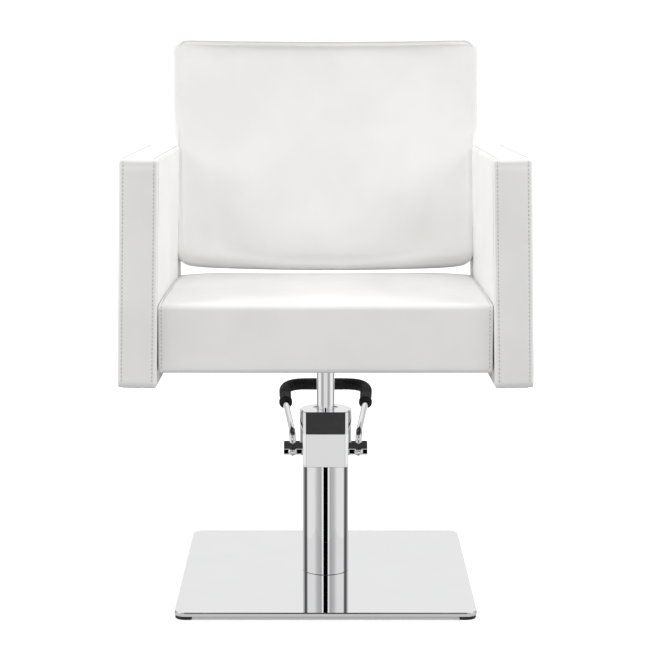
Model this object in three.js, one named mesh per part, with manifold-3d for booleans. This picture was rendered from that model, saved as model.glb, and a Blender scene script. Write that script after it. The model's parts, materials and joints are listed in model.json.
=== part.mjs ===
// Styling chair: a padded box-arm chair on a square-base hydraulic pump with a foot pedal.
// Millimetres. +Z is up, the front faces -Y, and +X is on the right for someone who faces the chair;
// "left" and "right" in the names are that viewer's. The origin is on the floor, on the pump's axis.

import * as THREE from 'three';
import { mergeVertices } from 'three/addons/utils/BufferGeometryUtils.js';
import Module from 'manifold-3d';

const wasm = await Module();
wasm.setup();

const DEG = Math.PI / 180;
const GAP = 0.3; // between pieces that touch
const RUNNING = 0.05; // clearance of a bearing
const BOLT_RADIUS = 4;
const BOLT_HOLE = 4.4;
const TURN = new THREE.Matrix4();

// Base
const BASE_SIDE = 480;
const BASE_CORNER = 25;
const BASE_TOP = 12;
const COVER_THICK = 1;
const COVER_RIM_LOW = 4;
const PLATE_LOW = 4.7;
const FOOT_RADIUS = 24;
const FOOT_THICK = 3.7;
const FOOT_INSET = 1;
const FOOT_STEPS = 5;
const BASE_BOLT_CIRCLE = 24;
const BASE_BOLT_HEAD_RADIUS = 7;
const BASE_BOLT_HEAD = 2.5;
const COUNTERBORE_RADIUS = 8;
const COUNTERBORE_DEPTH = 3;

// Pump
const COLUMN_RADIUS = 39;
const COLUMN_WALL = 2.3;
const COLUMN_INSIDE = COLUMN_RADIUS - COLUMN_WALL;
const COLUMN_SIDES = 40;
const FLANGE_LOW = BASE_TOP + GAP;
const FLANGE_TOP = FLANGE_LOW + 14;
const HEAD_RADIUS = 44;
const HEAD_LOW = 214;
const HEAD_TOP = 291;
const HEAD_EDGE = 4.5;
const NOSE_LOW = 201;
const NOSE_HALF = 38;
const NOSE_FRONT = -50;
const NOSE_EDGE = 5.5;
const NOSE_SHOULDER = 260; // height at which the nose's front face meets its slope
const NOSE_SLOPE_BACK = -30;
const NOSE_SLOPE_TOP = 289;
const NOSE_LIP_BACK = -14; // rear edge of the nose where it hangs in front of the column
const TUBE_RADIUS = 19;
const TUBE_BORE = 16.7;
const TUBE_TOP = 266;
const GLAND_RADIUS = 20;
const GLAND_TOP = 284;
const WIPER_TOP = 290.7;
const ROD_RADIUS = 15;
const ROD_SIDES = 24;
const ROD_TOP = 380;
const PISTON_LOW = 62;
const PISTON_TOP = PISTON_LOW + 18;
const PISTON_FIT = 0.2;
const SEAL_LOW = PISTON_LOW + 6;
const SEAL_TOP = PISTON_LOW + 11;
const SEAL_DEPTH = 2;

// Pedal
const SHAFT_Y = -30;
const SHAFT_Z = 230;
const SHAFT_RADIUS = 6;
const SHAFT_SIDES = 16;
const SHAFT_HALF = 48;
const BUSH_RADIUS = 8.7;
const BUSH_START = 32.5;
const LEVER_HALF = 5;
const BAR_SIDE = 20;
const BAR_END = 70;
const BAR_START = 38.5;
const BAR_SLOPE_BACK = 6.5;
const BAR_SLOPE_LOW = 9.5;
const BAR_NOTCH = 41.3; // behind the shaft the bar stays clear of the head's round side at every pedal angle
const BAR_NOTCH_Y = -27.5;
const LEG_X = 55;
const PEDAL_ROD_RADIUS = 5.5;
const LEG_BEND_Z = 255;
const CLAMP_Z = SHAFT_Z - 4.5;
const CLAMP_RADIUS = 3;
const CLAMP_HEAD = [[0, 0], [7, 0], [7, 1.2], [5.7, 3], [3, 4.3], [0, 4.7]];
const GRIP_START = new THREE.Vector3(69, 107, 277);
const GRIP_BACK_Y = 200;
const GRIP_BACK_Z = 292;
const GRIP_HALF = 73;
const GRIP_CORNER = 38;
const GRIP_RADIUS = 10.5;

// Plunger pump beside the cylinder tube
const PLUNGER_X = 26;
const PLUNGER_Y = -12;
const PLUNGER_RADIUS = 4;
const PLUNGER_LOW = 166;
const PLUNGER_FLANGE = 7;
const PLUNGER_SIDES = 12;
const ROLLER_RADIUS = 5;
const PLUNGER_TOP = SHAFT_Z - ROLLER_RADIUS - GAP;
const BARREL_LOW = 150;
const BARREL_TOP = 200;
const BARREL_RADIUS = 6.8;
const BARREL_FLOOR = 6;
const SPRING_TOP = 218.7;
const SPRING_WIRE = 0.7;
const SPRING_RADIUS = 5.6;
const SPRING_TURNS = 5;

// Chair shell: its own frame starts at the arms' lower front edge and leans back
const SHELL_TILT = 2;
const SHELL_Y = -270;
const SHELL_Z = 384;
const SKIN = 2;
const PAD_EDGE = 5; // chamfer on the padded pieces' rims
const INNER_EDGE = 4;

const ARM_DEPTH = 500;
const ARM_HEIGHT = 346;
const ARM_THICK = 53.5;
const ARM_INNER_LOW = 264.5;
const ARM_LEAN = 1.24;
const ARM_BOARD_THICK = 18;
const ARM_BOARD_X = 18;
const ARM_BOARD_INSET = 13;
const ARM_BOARD_TOP = ARM_HEIGHT - 17;
const ARM_REAR_CORNER = 28;
const ARM_FRONT_CORNER = 10;
const ARM_LOW_CORNER = 12;

const SEAT_HALF = 255;
const SEAT_FRONT = 10;
const SEAT_REAR = 478;
const SEAT_LOW = 19;
const SEAT_TOP = 126;
const BOARD_THICK = 18;
const BOARD_HALF = 244;
const BOARD_FRONT = 24;
const BOARD_REAR = 464;
const SEAT_LOW_CORNER = 8;
const SEAT_FRONT_CORNER = 16;
const SEAT_REAR_CORNER = 26;
const SEAT_CROWN = 15;
const DUST_COVER_HALF = 214;
const DUST_COVER_INSET = 8;
const DUST_COVER_THICK = 1.5;

// Under the seat
const PUMP_Y = -SHELL_Y; // the pump's axis, seen in the shell's frame
const MOUNT_TOP = SEAT_LOW - DUST_COVER_THICK - 2 * GAP;
const MOUNT_THICK = 6;
const MOUNT_BOLT_HEAD_RADIUS = 7.5;
const MOUNT_BOLT_HEAD = 5;
const MOUNT_BOLT_DEPTH = 15;
const MOUNT_HALF = 100;
const MOUNT_WAIST = 42;

// Fixings between the arms, the seat and the back
const BRACKET_THICK = 3;
const BRACKET_FRONT = 60;
const BRACKET_REAR = 420;
const BRACKET_TOP = 76;
const BRACKET_LEAF = 45;
const ARM_BOLTS = [['front', 130], ['rear', 350]];
const ARM_BOLT_Z = 56;
const ARM_BOLT_HEAD_RADIUS = 7.5;
const ARM_BOLT_HEAD = 2.6;
const SCREW_DEPTH = 13; // into the arm's board
const HANGER_Y = 466;
const HANGER_HALF = 15;
const HANGER_LOW = 190;
const HANGER_HIGH = 306;
const STUD_ZS = [212, 284];
const STUD_RADIUS = 3;

const BACK_Y = 415.4;
const BACK_Z = 137.6;
const BACK_RECLINE = 3.5; // beyond the shell's own tilt
const BACK_HALF = 255.5;
const BACK_HEIGHT = 395;
const BACK_THICK = 82;
const BACK_PANEL_THICK = 11;
const BACK_SHELL_THICK = BACK_THICK - BACK_PANEL_THICK;
const BACK_CORNER_LOW = 36;
const BACK_CORNER_TOP = 20;
const BACK_SIDE_LOW = 5; // height of the lower edge at the sides, above its middle
const BACK_BOARD_INSET = 24;
const BACK_BOARD_FRONT = BACK_SHELL_THICK - 16;
const BACK_STEPS = 5;
const POCKET = { inner: 247, outer: 262, front: 18, rear: 74, low: 46, high: 176 };

const group = new THREE.Group();

// ---------------------------------------------------------------- finishes

const finishes = {
  leatherette: { color: 0xeae8e6, roughness: 0.5, metalness: 0 },
  foam: { color: 0xd9d2b8, roughness: 0.95, metalness: 0 },
  plywood: { color: 0xb98f5e, roughness: 0.7, metalness: 0 },
  dust_cloth: { color: 0x1c1c1e, roughness: 0.95, metalness: 0 },
  chrome: { color: 0xe6e7ea, roughness: 0.08, metalness: 1 },
  polished_steel: { color: 0xe2e2e4, roughness: 0.12, metalness: 1 },
  machined_steel: { color: 0x9a9ca0, roughness: 0.35, metalness: 1 },
  black_steel: { color: 0x202124, roughness: 0.5, metalness: 0.4 },
  brass: { color: 0xb89452, roughness: 0.35, metalness: 1 },
  black_rubber: { color: 0x161618, roughness: 0.8, metalness: 0 },
  seal: { color: 0x2a2a2c, roughness: 0.6, metalness: 0 },
};

function add(parent, name, geometry, finish) {
  const mesh = new THREE.Mesh(geometry, new THREE.MeshStandardMaterial(finishes[finish]));
  mesh.name = name;
  parent.add(mesh);
  return mesh;
}

// ---------------------------------------------------------------- shapes

// Closed outline through [x, y, setback] corners; each corner is rounded over its setback.
function roundedOutline(corners) {
  const shape = new THREE.Shape();
  corners.forEach(([x, y, setback], i) => {
    const corner = new THREE.Vector2(x, y);
    const [beforeX, beforeY] = corners[(i + corners.length - 1) % corners.length];
    const [afterX, afterY] = corners[(i + 1) % corners.length];
    const start = new THREE.Vector2(beforeX, beforeY).sub(corner).setLength(setback).add(corner);
    const end = new THREE.Vector2(afterX, afterY).sub(corner).setLength(setback).add(corner);
    if (i === 0) shape.moveTo(start.x, start.y);
    else shape.lineTo(start.x, start.y);
    if (setback > 0) shape.quadraticCurveTo(x, y, end.x, end.y);
  });
  return shape;
}

function rectangle(x0, y0, x1, y1, corner = 0) {
  return roundedOutline([[x0, y0, corner], [x1, y0, corner], [x1, y1, corner], [x0, y1, corner]]);
}

// Extrusion along +Z from z0 to z1; a bevel rounds both rims without growing the outline.
function slabZ(shape, z0, z1, bevel = 0, steps = 3) {
  const geometry = new THREE.ExtrudeGeometry(shape, {
    depth: z1 - z0 - 2 * bevel,
    curveSegments: steps,
    bevelEnabled: bevel > 0,
    bevelThickness: bevel,
    bevelSize: bevel,
    bevelOffset: -bevel,
    bevelSegments: 1,
  });
  return geometry.translate(0, 0, z0 + bevel);
}

// The outline's (x, y) become (Y, Z), and the extrusion runs along X.
function slabX(shape, x0, x1, bevel = 0, steps = 3) {
  const low = Math.min(x0, x1);
  const high = Math.max(x0, x1);
  TURN.makeBasis(new THREE.Vector3(0, 1, 0), new THREE.Vector3(0, 0, 1), new THREE.Vector3(1, 0, 0));
  return slabZ(shape, low, high, bevel, steps).applyMatrix4(TURN);
}

// The outline's (x, y) become (X, Z), and the extrusion fills y0 to y1.
function slabY(shape, y0, y1, bevel = 0, steps = 3) {
  return slabZ(shape, -y1, -y0, bevel, steps).rotateX(Math.PI / 2);
}

function box(x0, x1, y0, y1, z0, z1) {
  const geometry = new THREE.BoxGeometry(Math.abs(x1 - x0), y1 - y0, z1 - z0);
  return geometry.translate((x0 + x1) / 2, (y0 + y1) / 2, (z0 + z1) / 2);
}

function rodZ(radius, x, y, z0, z1, sides = 20) {
  const geometry = new THREE.CylinderGeometry(radius, radius, z1 - z0, sides);
  return geometry.rotateX(Math.PI / 2).translate(x, y, (z0 + z1) / 2);
}

function rodX(radius, x0, x1, y, z, sides = 16) {
  const geometry = new THREE.CylinderGeometry(radius, radius, Math.abs(x1 - x0), sides);
  return geometry.rotateZ(Math.PI / 2).translate((x0 + x1) / 2, y, z);
}

function rodY(radius, x, z, y0, y1, sides = 8) {
  const geometry = new THREE.CylinderGeometry(radius, radius, y1 - y0, sides);
  return geometry.translate(x, (y0 + y1) / 2, z);
}

// Solid of revolution about the vertical through (x, y), from [radius, z] points listed upwards
// along the outside.
function turned(profile, sides = 24, x = 0, y = 0) {
  const points = profile.map(([radius, z]) => new THREE.Vector2(radius, z));
  return new THREE.LatheGeometry(points, sides).rotateX(Math.PI / 2).translate(x, y, 0);
}

function pipe(inner, outer, z0, z1, sides = 24, x = 0, y = 0) {
  return turned([[inner, z0], [outer, z0], [outer, z1], [inner, z1], [inner, z0]], sides, x, y);
}

// Radius of a faceted bore whose flats stay clear of a round that turns in it.
function bearing(radius, sides) {
  return radius / Math.cos(Math.PI / sides) + RUNNING;
}

function sweep(path, radius, bore, sides, steps) {
  const section = new THREE.Shape().absarc(0, 0, radius, 0, 2 * Math.PI);
  if (bore > 0) section.holes.push(new THREE.Path().absarc(0, 0, bore, 0, 2 * Math.PI, true));
  const options = { steps, curveSegments: sides / 2, bevelEnabled: false, extrudePath: path };
  return new THREE.ExtrudeGeometry(section, options);
}

// ---------------------------------------------------------------- cutting and joining

function toSolid(geometry) {
  const bare = geometry.clone();
  bare.deleteAttribute('normal');
  bare.deleteAttribute('uv');
  const welded = mergeVertices(bare, 1e-3);
  return new wasm.Manifold(new wasm.Mesh({
    numProp: 3,
    vertProperties: welded.attributes.position.array,
    triVerts: Uint32Array.from(welded.index.array),
  }));
}

function toGeometry(solid) {
  const mesh = solid.getMesh();
  const geometry = new THREE.BufferGeometry();
  geometry.setAttribute('position', new THREE.BufferAttribute(mesh.vertProperties, 3));
  geometry.setIndex(new THREE.BufferAttribute(mesh.triVerts, 1));
  return geometry;
}

function joined(...geometries) {
  return toGeometry(geometries.map(toSolid).reduce((whole, piece) => whole.add(piece)));
}

function cut(geometry, ...tools) {
  return toGeometry(tools.map(toSolid).reduce((whole, tool) => whole.subtract(tool), toSolid(geometry)));
}

// ---------------------------------------------------------------- base

const baseBoltPlaces = [0, 1, 2, 3].map((i) => [
  BASE_BOLT_CIRCLE * Math.cos((i + 0.5) * Math.PI / 2),
  BASE_BOLT_CIRCLE * Math.sin((i + 0.5) * Math.PI / 2),
]);

// Bolt-sized bores at the given places, longer at both ends than what they go through.
function boltHoles(places, z0, z1) {
  return places.map(([x, y]) => rodZ(BOLT_HOLE, x, y, z0 - 5, z1 + 5, 8));
}

function makeBaseCover() {
  const half = BASE_SIDE / 2;
  const inside = half - COVER_THICK;
  const shell = slabZ(rectangle(-half, -half, half, half, BASE_CORNER), COVER_RIM_LOW, BASE_TOP);
  const hollow = rectangle(-inside, -inside, inside, inside, BASE_CORNER - COVER_THICK);
  const holes = boltHoles(baseBoltPlaces, 0, BASE_TOP);
  return cut(shell, slabZ(hollow, 0, BASE_TOP - COVER_THICK), ...holes);
}

function makeBasePlate() {
  const half = BASE_SIDE / 2 - COVER_THICK - 1;
  const outline = rectangle(-half, -half, half, half, BASE_CORNER - COVER_THICK - 1);
  const top = BASE_TOP - COVER_THICK - GAP;
  const holes = boltHoles(baseBoltPlaces, PLATE_LOW, top);
  const counterbores = baseBoltPlaces.map(([x, y]) => (
    rodZ(COUNTERBORE_RADIUS, x, y, 0, PLATE_LOW + COUNTERBORE_DEPTH, 10)
  ));
  return cut(slabZ(outline, PLATE_LOW, top), ...holes, ...counterbores);
}

// A quarter-round glide with its arc towards the base's middle.
function makeFoot(sideX, sideY) {
  const edge = BASE_SIDE / 2 - FOOT_INSET;
  const corner = BASE_CORNER - FOOT_INSET;
  const low = edge - 2 * FOOT_RADIUS;
  const outline = roundedOutline([
    [low, edge, 2],
    [low, low + FOOT_RADIUS, 6],
    [low + FOOT_RADIUS, low, 6],
    [edge, low, 2],
    [edge, edge, corner],
  ].map(([x, y, setback]) => [sideX * x, sideY * y, setback]));
  return slabZ(outline, 0, FOOT_THICK, 0, FOOT_STEPS);
}

// Hexagon-headed bolt that points up: the head spans low to low + head.
function makeBolt(x, y, headRadius, low, head, high) {
  return joined(
    rodZ(headRadius, x, y, low, low + head, 6),
    rodZ(BOLT_RADIUS, x, y, low + head - 1, high, 8),
  );
}

add(group, 'base_cover', makeBaseCover(), 'polished_steel');
add(group, 'base_plate', makeBasePlate(), 'black_steel');
for (const [end, sideY] of [['front', -1], ['rear', 1]]) {
  for (const [side, sideX] of [['left', -1], ['right', 1]]) {
    add(group, `foot_${end}_${side}`, makeFoot(sideX, sideY), 'black_rubber');
  }
}
baseBoltPlaces.forEach(([x, y], i) => {
  const low = PLATE_LOW + 0.2;
  const bolt = makeBolt(x, y, BASE_BOLT_HEAD_RADIUS, low, BASE_BOLT_HEAD, FLANGE_TOP - 2.3);
  add(group, `base_bolt_${i + 1}`, bolt, 'machined_steel');
});

// ---------------------------------------------------------------- pump

// Flange with blind holes for the base's bolts.
function makePumpFlange() {
  const holes = baseBoltPlaces.map(([x, y]) => rodZ(BOLT_HOLE, x, y, 0, FLANGE_TOP - 1.8, 8));
  return cut(rodZ(COLUMN_INSIDE - 0.5, 0, 0, FLANGE_LOW, FLANGE_TOP, 24), ...holes);
}

function makeHead() {
  const round = turned([
    [0, HEAD_LOW],
    [HEAD_RADIUS, HEAD_LOW],
    [HEAD_RADIUS, HEAD_TOP - HEAD_EDGE],
    [HEAD_RADIUS - 0.3 * HEAD_EDGE, HEAD_TOP - 0.3 * HEAD_EDGE],
    [HEAD_RADIUS - HEAD_EDGE, HEAD_TOP],
    [0, HEAD_TOP],
  ], COLUMN_SIDES);
  const nose = slabZ(roundedOutline([
    [-NOSE_HALF, NOSE_FRONT, NOSE_EDGE],
    [NOSE_HALF, NOSE_FRONT, NOSE_EDGE],
    [NOSE_HALF, 0, 0],
    [-NOSE_HALF, 0, 0],
  ]), NOSE_LOW, HEAD_TOP, 0, 0.8);
  const rise = (NOSE_SLOPE_TOP - NOSE_SHOULDER) / (NOSE_SLOPE_BACK - NOSE_FRONT);
  const reach = 30;
  const slope = slabX(roundedOutline([
    [NOSE_FRONT - reach, NOSE_SHOULDER - rise * reach, 0],
    [NOSE_FRONT + reach, NOSE_SHOULDER + rise * reach, 0],
    [NOSE_FRONT - reach, NOSE_SHOULDER + rise * reach, 0],
  ]), -60, 60);
  return cut(
    joined(round, nose),
    slope,
    rodZ(36, 0, 0, HEAD_LOW - 5, 268, 24),
    rodZ(COLUMN_RADIUS + GAP, 0, 0, NOSE_LOW - 5, HEAD_LOW, COLUMN_SIDES),
    box(-60, 60, NOSE_LIP_BACK, 5, NOSE_LOW - 5, HEAD_LOW),
    rodZ(20.5, 0, 0, 260, HEAD_TOP + 5, 20),
    box(-32, 32, NOSE_FRONT + 6, 0, 218, 252),
    rodX(BUSH_RADIUS + GAP, -60, 60, SHAFT_Y, SHAFT_Z, SHAFT_SIDES),
  );
}

function makeShaftBush(side) {
  const end = side * NOSE_HALF;
  const body = rodX(BUSH_RADIUS, side * BUSH_START, end, SHAFT_Y, SHAFT_Z, SHAFT_SIDES);
  const bore = bearing(SHAFT_RADIUS, SHAFT_SIDES);
  return cut(body, rodX(bore, -60, 60, SHAFT_Y, SHAFT_Z, SHAFT_SIDES));
}

// Bronze gland that closes the cylinder and guides the rod.
function makeGland() {
  return pipe(bearing(ROD_RADIUS, ROD_SIDES), GLAND_RADIUS, TUBE_TOP + GAP, GLAND_TOP, ROD_SIDES);
}

function makeWiper() {
  const bore = bearing(ROD_RADIUS, ROD_SIDES);
  const low = GLAND_TOP + GAP;
  return turned([
    [bore, low],
    [GLAND_RADIUS, low],
    [GLAND_RADIUS, WIPER_TOP - 0.7],
    [bore + 1, WIPER_TOP],
    [bore, low],
  ], ROD_SIDES);
}

// Closed-bottom barrel in which the small plunger pumps the oil.
function makePlungerBarrel() {
  const bore = PLUNGER_RADIUS + RUNNING;
  return turned([
    [0, BARREL_LOW],
    [BARREL_RADIUS, BARREL_LOW],
    [BARREL_RADIUS, BARREL_TOP],
    [bore, BARREL_TOP],
    [bore, BARREL_LOW + BARREL_FLOOR],
    [0, BARREL_LOW + BARREL_FLOOR],
  ], PLUNGER_SIDES, PLUNGER_X, PLUNGER_Y);
}

class Helix extends THREE.Curve {
  constructor(radius, low, high, turns) {
    super();
    Object.assign(this, { radius, low, high, turns });
  }

  getPoint(t, target = new THREE.Vector3()) {
    const angle = 2 * Math.PI * this.turns * t;
    const z = this.low + (this.high - this.low) * t;
    return target.set(this.radius * Math.cos(angle), this.radius * Math.sin(angle), z);
  }
}

function makePlungerSpring() {
  const low = BARREL_TOP + SPRING_WIRE + GAP;
  const high = SPRING_TOP - SPRING_WIRE - GAP;
  const coil = new Helix(SPRING_RADIUS, low, high, SPRING_TURNS);
  return sweep(coil, SPRING_WIRE, 0, 4, 10 * SPRING_TURNS).translate(PLUNGER_X, PLUNGER_Y, 0);
}

add(group, 'pump_flange', makePumpFlange(), 'machined_steel');
add(
  group,
  'column_sleeve',
  pipe(COLUMN_INSIDE, COLUMN_RADIUS, FLANGE_LOW, HEAD_LOW - GAP, COLUMN_SIDES),
  'chrome',
);
add(group, 'cylinder_tube', pipe(TUBE_BORE, TUBE_RADIUS, FLANGE_TOP + GAP, TUBE_TOP), 'machined_steel');
add(group, 'head_housing', makeHead(), 'chrome');
add(group, 'shaft_bush_left', makeShaftBush(-1), 'brass');
add(group, 'shaft_bush_right', makeShaftBush(1), 'brass');
add(group, 'rod_gland', makeGland(), 'brass');
add(group, 'rod_wiper', makeWiper(), 'seal');
add(group, 'plunger_barrel', makePlungerBarrel(), 'brass');
add(group, 'plunger_spring', makePlungerSpring(), 'machined_steel');

// ---------------------------------------------------------------- plunger

add(group, 'pump_plunger', turned([
  [0, PLUNGER_LOW],
  [PLUNGER_RADIUS, PLUNGER_LOW],
  [PLUNGER_RADIUS, SPRING_TOP],
  [PLUNGER_FLANGE, SPRING_TOP],
  [PLUNGER_FLANGE, SPRING_TOP + 2],
  [PLUNGER_RADIUS, SPRING_TOP + 2],
  [PLUNGER_RADIUS, PLUNGER_TOP],
  [0, PLUNGER_TOP],
], PLUNGER_SIDES, PLUNGER_X, PLUNGER_Y), 'machined_steel');

// ---------------------------------------------------------------- pedal

// Lever on the shaft with a rounded end that rests on the plunger.
function makeRockerArm() {
  const from = PLUNGER_X - LEVER_HALF;
  const to = PLUNGER_X + LEVER_HALF;
  const body = joined(
    rodX(SHAFT_RADIUS + 3, from, to, SHAFT_Y, SHAFT_Z, SHAFT_SIDES),
    rodX(ROLLER_RADIUS, from, to, PLUNGER_Y, SHAFT_Z, 16),
    box(from, to, SHAFT_Y, PLUNGER_Y, SHAFT_Z - 3, SHAFT_Z + 3),
  );
  return cut(body, rodX(SHAFT_RADIUS + GAP, from - 1, to + 1, SHAFT_Y, SHAFT_Z, SHAFT_SIDES));
}

function makePedalBar(side) {
  const low = SHAFT_Z - BAR_SIDE / 2;
  const high = SHAFT_Z + BAR_SIDE / 2;
  const front = SHAFT_Y - BAR_SIDE / 2;
  const rear = SHAFT_Y + BAR_SIDE / 2;
  const section = roundedOutline([
    [front, low, 2],
    [rear, low, 2],
    [rear, high, 2],
    [front + BAR_SLOPE_BACK, high, 0],
    [front, high - BAR_SLOPE_LOW, 0],
  ]);
  const body = slabX(section, side * BAR_START, side * BAR_END);
  const notch = [side * (BAR_START - 2), side * BAR_NOTCH].sort((a, b) => a - b);
  return cut(
    body,
    box(...notch, BAR_NOTCH_Y, rear + 1, low - 1, high + 1),
    rodX(SHAFT_RADIUS + GAP, side * 30, side * (SHAFT_HALF + 0.5), SHAFT_Y, SHAFT_Z, SHAFT_SIDES),
    rodZ(PEDAL_ROD_RADIUS + GAP, side * LEG_X, SHAFT_Y, SHAFT_Z - 7, SHAFT_Z + 20, 20),
    rodY(CLAMP_RADIUS + GAP, side * LEG_X, CLAMP_Z, SHAFT_Y - 20, SHAFT_Y, 8),
  );
}

// Domed clamp screw that holds the pedal's leg in its bar.
function makeClampScrew(side) {
  const front = SHAFT_Y - BAR_SIDE / 2 - GAP;
  return joined(
    turned(CLAMP_HEAD, 12).rotateX(Math.PI / 2).translate(side * LEG_X, front, CLAMP_Z),
    rodY(CLAMP_RADIUS, side * LEG_X, CLAMP_Z, front - 1, SHAFT_Y - PEDAL_ROD_RADIUS - GAP, 8),
  );
}

// Corner positions of one half of the pedal, mirrored by side, from the leg's foot to the rear bar.
function pedalPoints(side) {
  const at = (x, y, z) => new THREE.Vector3(side * x, y, z);
  const direction = new THREE.Vector3(GRIP_HALF, GRIP_BACK_Y, GRIP_BACK_Z).sub(GRIP_START).normalize();
  const corner = at(GRIP_HALF, GRIP_BACK_Y, GRIP_BACK_Z);
  const back = direction.multiplyScalar(-GRIP_CORNER);
  return {
    foot: at(LEG_X, SHAFT_Y, SHAFT_Z - 6),
    bendLow: at(LEG_X, SHAFT_Y, LEG_BEND_Z - 12),
    bend: at(LEG_X, SHAFT_Y, LEG_BEND_Z),
    bendHigh: at(LEG_X + 1, SHAFT_Y + 12, LEG_BEND_Z + 2),
    gripStart: at(GRIP_START.x, GRIP_START.y, GRIP_START.z),
    cornerIn: corner.clone().add(new THREE.Vector3(side * back.x, back.y, back.z)),
    corner,
    cornerOut: at(GRIP_HALF - GRIP_CORNER, GRIP_BACK_Y, GRIP_BACK_Z),
  };
}

function pedalPath(fromFoot) {
  const left = pedalPoints(-1);
  const right = pedalPoints(1);
  const bend = (start, corner, end) => new THREE.QuadraticBezierCurve3(start, corner, end);
  const line = (start, end) => new THREE.LineCurve3(start, end);
  const path = new THREE.CurvePath();
  if (fromFoot) {
    path.add(line(left.foot, left.bendLow));
    path.add(bend(left.bendLow, left.bend, left.bendHigh));
    path.add(line(left.bendHigh, left.gripStart));
  }
  path.add(line(left.gripStart, left.cornerIn));
  path.add(bend(left.cornerIn, left.corner, left.cornerOut));
  path.add(line(left.cornerOut, right.cornerOut));
  path.add(bend(right.cornerOut, right.corner, right.cornerIn));
  path.add(line(right.cornerIn, right.gripStart));
  if (fromFoot) {
    path.add(line(right.gripStart, right.bendHigh));
    path.add(bend(right.bendHigh, right.bend, right.bendLow));
    path.add(line(right.bendLow, right.foot));
  }
  return path;
}

add(
  group,
  'rocker_shaft',
  rodX(SHAFT_RADIUS, -SHAFT_HALF, SHAFT_HALF, SHAFT_Y, SHAFT_Z, SHAFT_SIDES),
  'machined_steel',
);
add(group, 'rocker_arm', makeRockerArm(), 'machined_steel');
add(group, 'pedal_bar_left', makePedalBar(-1), 'chrome');
add(group, 'pedal_bar_right', makePedalBar(1), 'chrome');
add(group, 'clamp_screw_left', makeClampScrew(-1), 'chrome');
add(group, 'clamp_screw_right', makeClampScrew(1), 'chrome');
add(group, 'pedal_loop', sweep(pedalPath(true), PEDAL_ROD_RADIUS, 0, 8, 56), 'chrome');
const gripBore = PEDAL_ROD_RADIUS + 2 * GAP;
add(group, 'pedal_grip', sweep(pedalPath(false), GRIP_RADIUS, gripBore, 8, 30), 'black_rubber');

// ---------------------------------------------------------------- piston

function makePistonHead() {
  const outer = TUBE_BORE - PISTON_FIT;
  const groove = TUBE_BORE - SEAL_DEPTH;
  return turned([
    [0, PISTON_LOW],
    [outer, PISTON_LOW],
    [outer, SEAL_LOW],
    [groove, SEAL_LOW],
    [groove, SEAL_TOP],
    [outer, SEAL_TOP],
    [outer, PISTON_TOP],
    [0, PISTON_TOP],
  ]);
}

add(group, 'piston_head', makePistonHead(), 'machined_steel');
add(group, 'piston_seal', pipe(
  TUBE_BORE - SEAL_DEPTH + GAP,
  TUBE_BORE - PISTON_FIT / 2,
  SEAL_LOW + GAP,
  SEAL_TOP - GAP,
), 'seal');
add(group, 'piston_rod', rodZ(ROD_RADIUS, 0, 0, PISTON_TOP + GAP, ROD_TOP, ROD_SIDES), 'chrome');

// ---------------------------------------------------------------- chair shell

const shell = new THREE.Group();
shell.position.set(0, SHELL_Y, SHELL_Z);
shell.rotation.x = -SHELL_TILT * DEG;
group.add(shell);

const mountBoltPlaces = [[-75, -75], [75, -75], [75, 75], [-75, 75]].map(([x, y]) => [x, y + PUMP_Y]);

// Tapered socket that seats on the rod, with a collar under the plate.
function makeMountingHub() {
  const top = MOUNT_TOP - MOUNT_THICK - GAP;
  const socket = rodZ(ROD_RADIUS + GAP, 0, 0, -60, ROD_TOP - SHELL_Z + 11, ROD_SIDES);
  return cut(
    turned([[0, -15], [22, -15], [25, -6], [34, -2], [34, top], [0, top]], 24, 0, PUMP_Y),
    socket.rotateX(SHELL_TILT * DEG).translate(0, PUMP_Y, 0),
  );
}

function makeMountingPlate() {
  const quarter = [
    [-MOUNT_HALF, -MOUNT_HALF, 14],
    [-MOUNT_HALF + MOUNT_WAIST, -MOUNT_HALF, 14],
    [0, -MOUNT_WAIST, 30],
    [MOUNT_HALF - MOUNT_WAIST, -MOUNT_HALF, 14],
  ];
  const turns = [([x, y, r]) => [x, y, r], ([x, y, r]) => [-y, x, r],
    ([x, y, r]) => [-x, -y, r], ([x, y, r]) => [y, -x, r]];
  const outline = roundedOutline(turns.flatMap((turn) => quarter.map(turn)));
  const plate = slabZ(outline, MOUNT_TOP - MOUNT_THICK, MOUNT_TOP).translate(0, PUMP_Y, 0);
  return cut(plate, ...boltHoles(mountBoltPlaces, MOUNT_TOP - MOUNT_THICK, MOUNT_TOP));
}

add(shell, 'mounting_hub', makeMountingHub(), 'chrome');
add(shell, 'mounting_plate', makeMountingPlate(), 'black_steel');
mountBoltPlaces.forEach(([x, y], i) => {
  const low = MOUNT_TOP - MOUNT_THICK - GAP - MOUNT_BOLT_HEAD;
  const high = SEAT_LOW + MOUNT_BOLT_DEPTH;
  const bolt = makeBolt(x, y, MOUNT_BOLT_HEAD_RADIUS, low, MOUNT_BOLT_HEAD, high);
  add(shell, `mounting_bolt_${i + 1}`, bolt, 'machined_steel');
});

// ---------------------------------------------------------------- seat

// Side outline of the seat, drawn inset from the outer surface; the top is slightly crowned.
function seatOutline(inset, low) {
  const front = SEAT_FRONT + inset;
  const rear = SEAT_REAR - inset;
  const top = SEAT_TOP - inset;
  return roundedOutline([
    [front, low, low < SEAT_LOW ? 0 : SEAT_LOW_CORNER - inset],
    [rear, low, low < SEAT_LOW ? 0 : SEAT_LOW_CORNER - inset],
    [rear, top - 1, SEAT_REAR_CORNER - inset],
    [(front + rear) / 2, top + SEAT_CROWN, 150],
    [front, top, SEAT_FRONT_CORNER - inset],
  ]);
}

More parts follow.
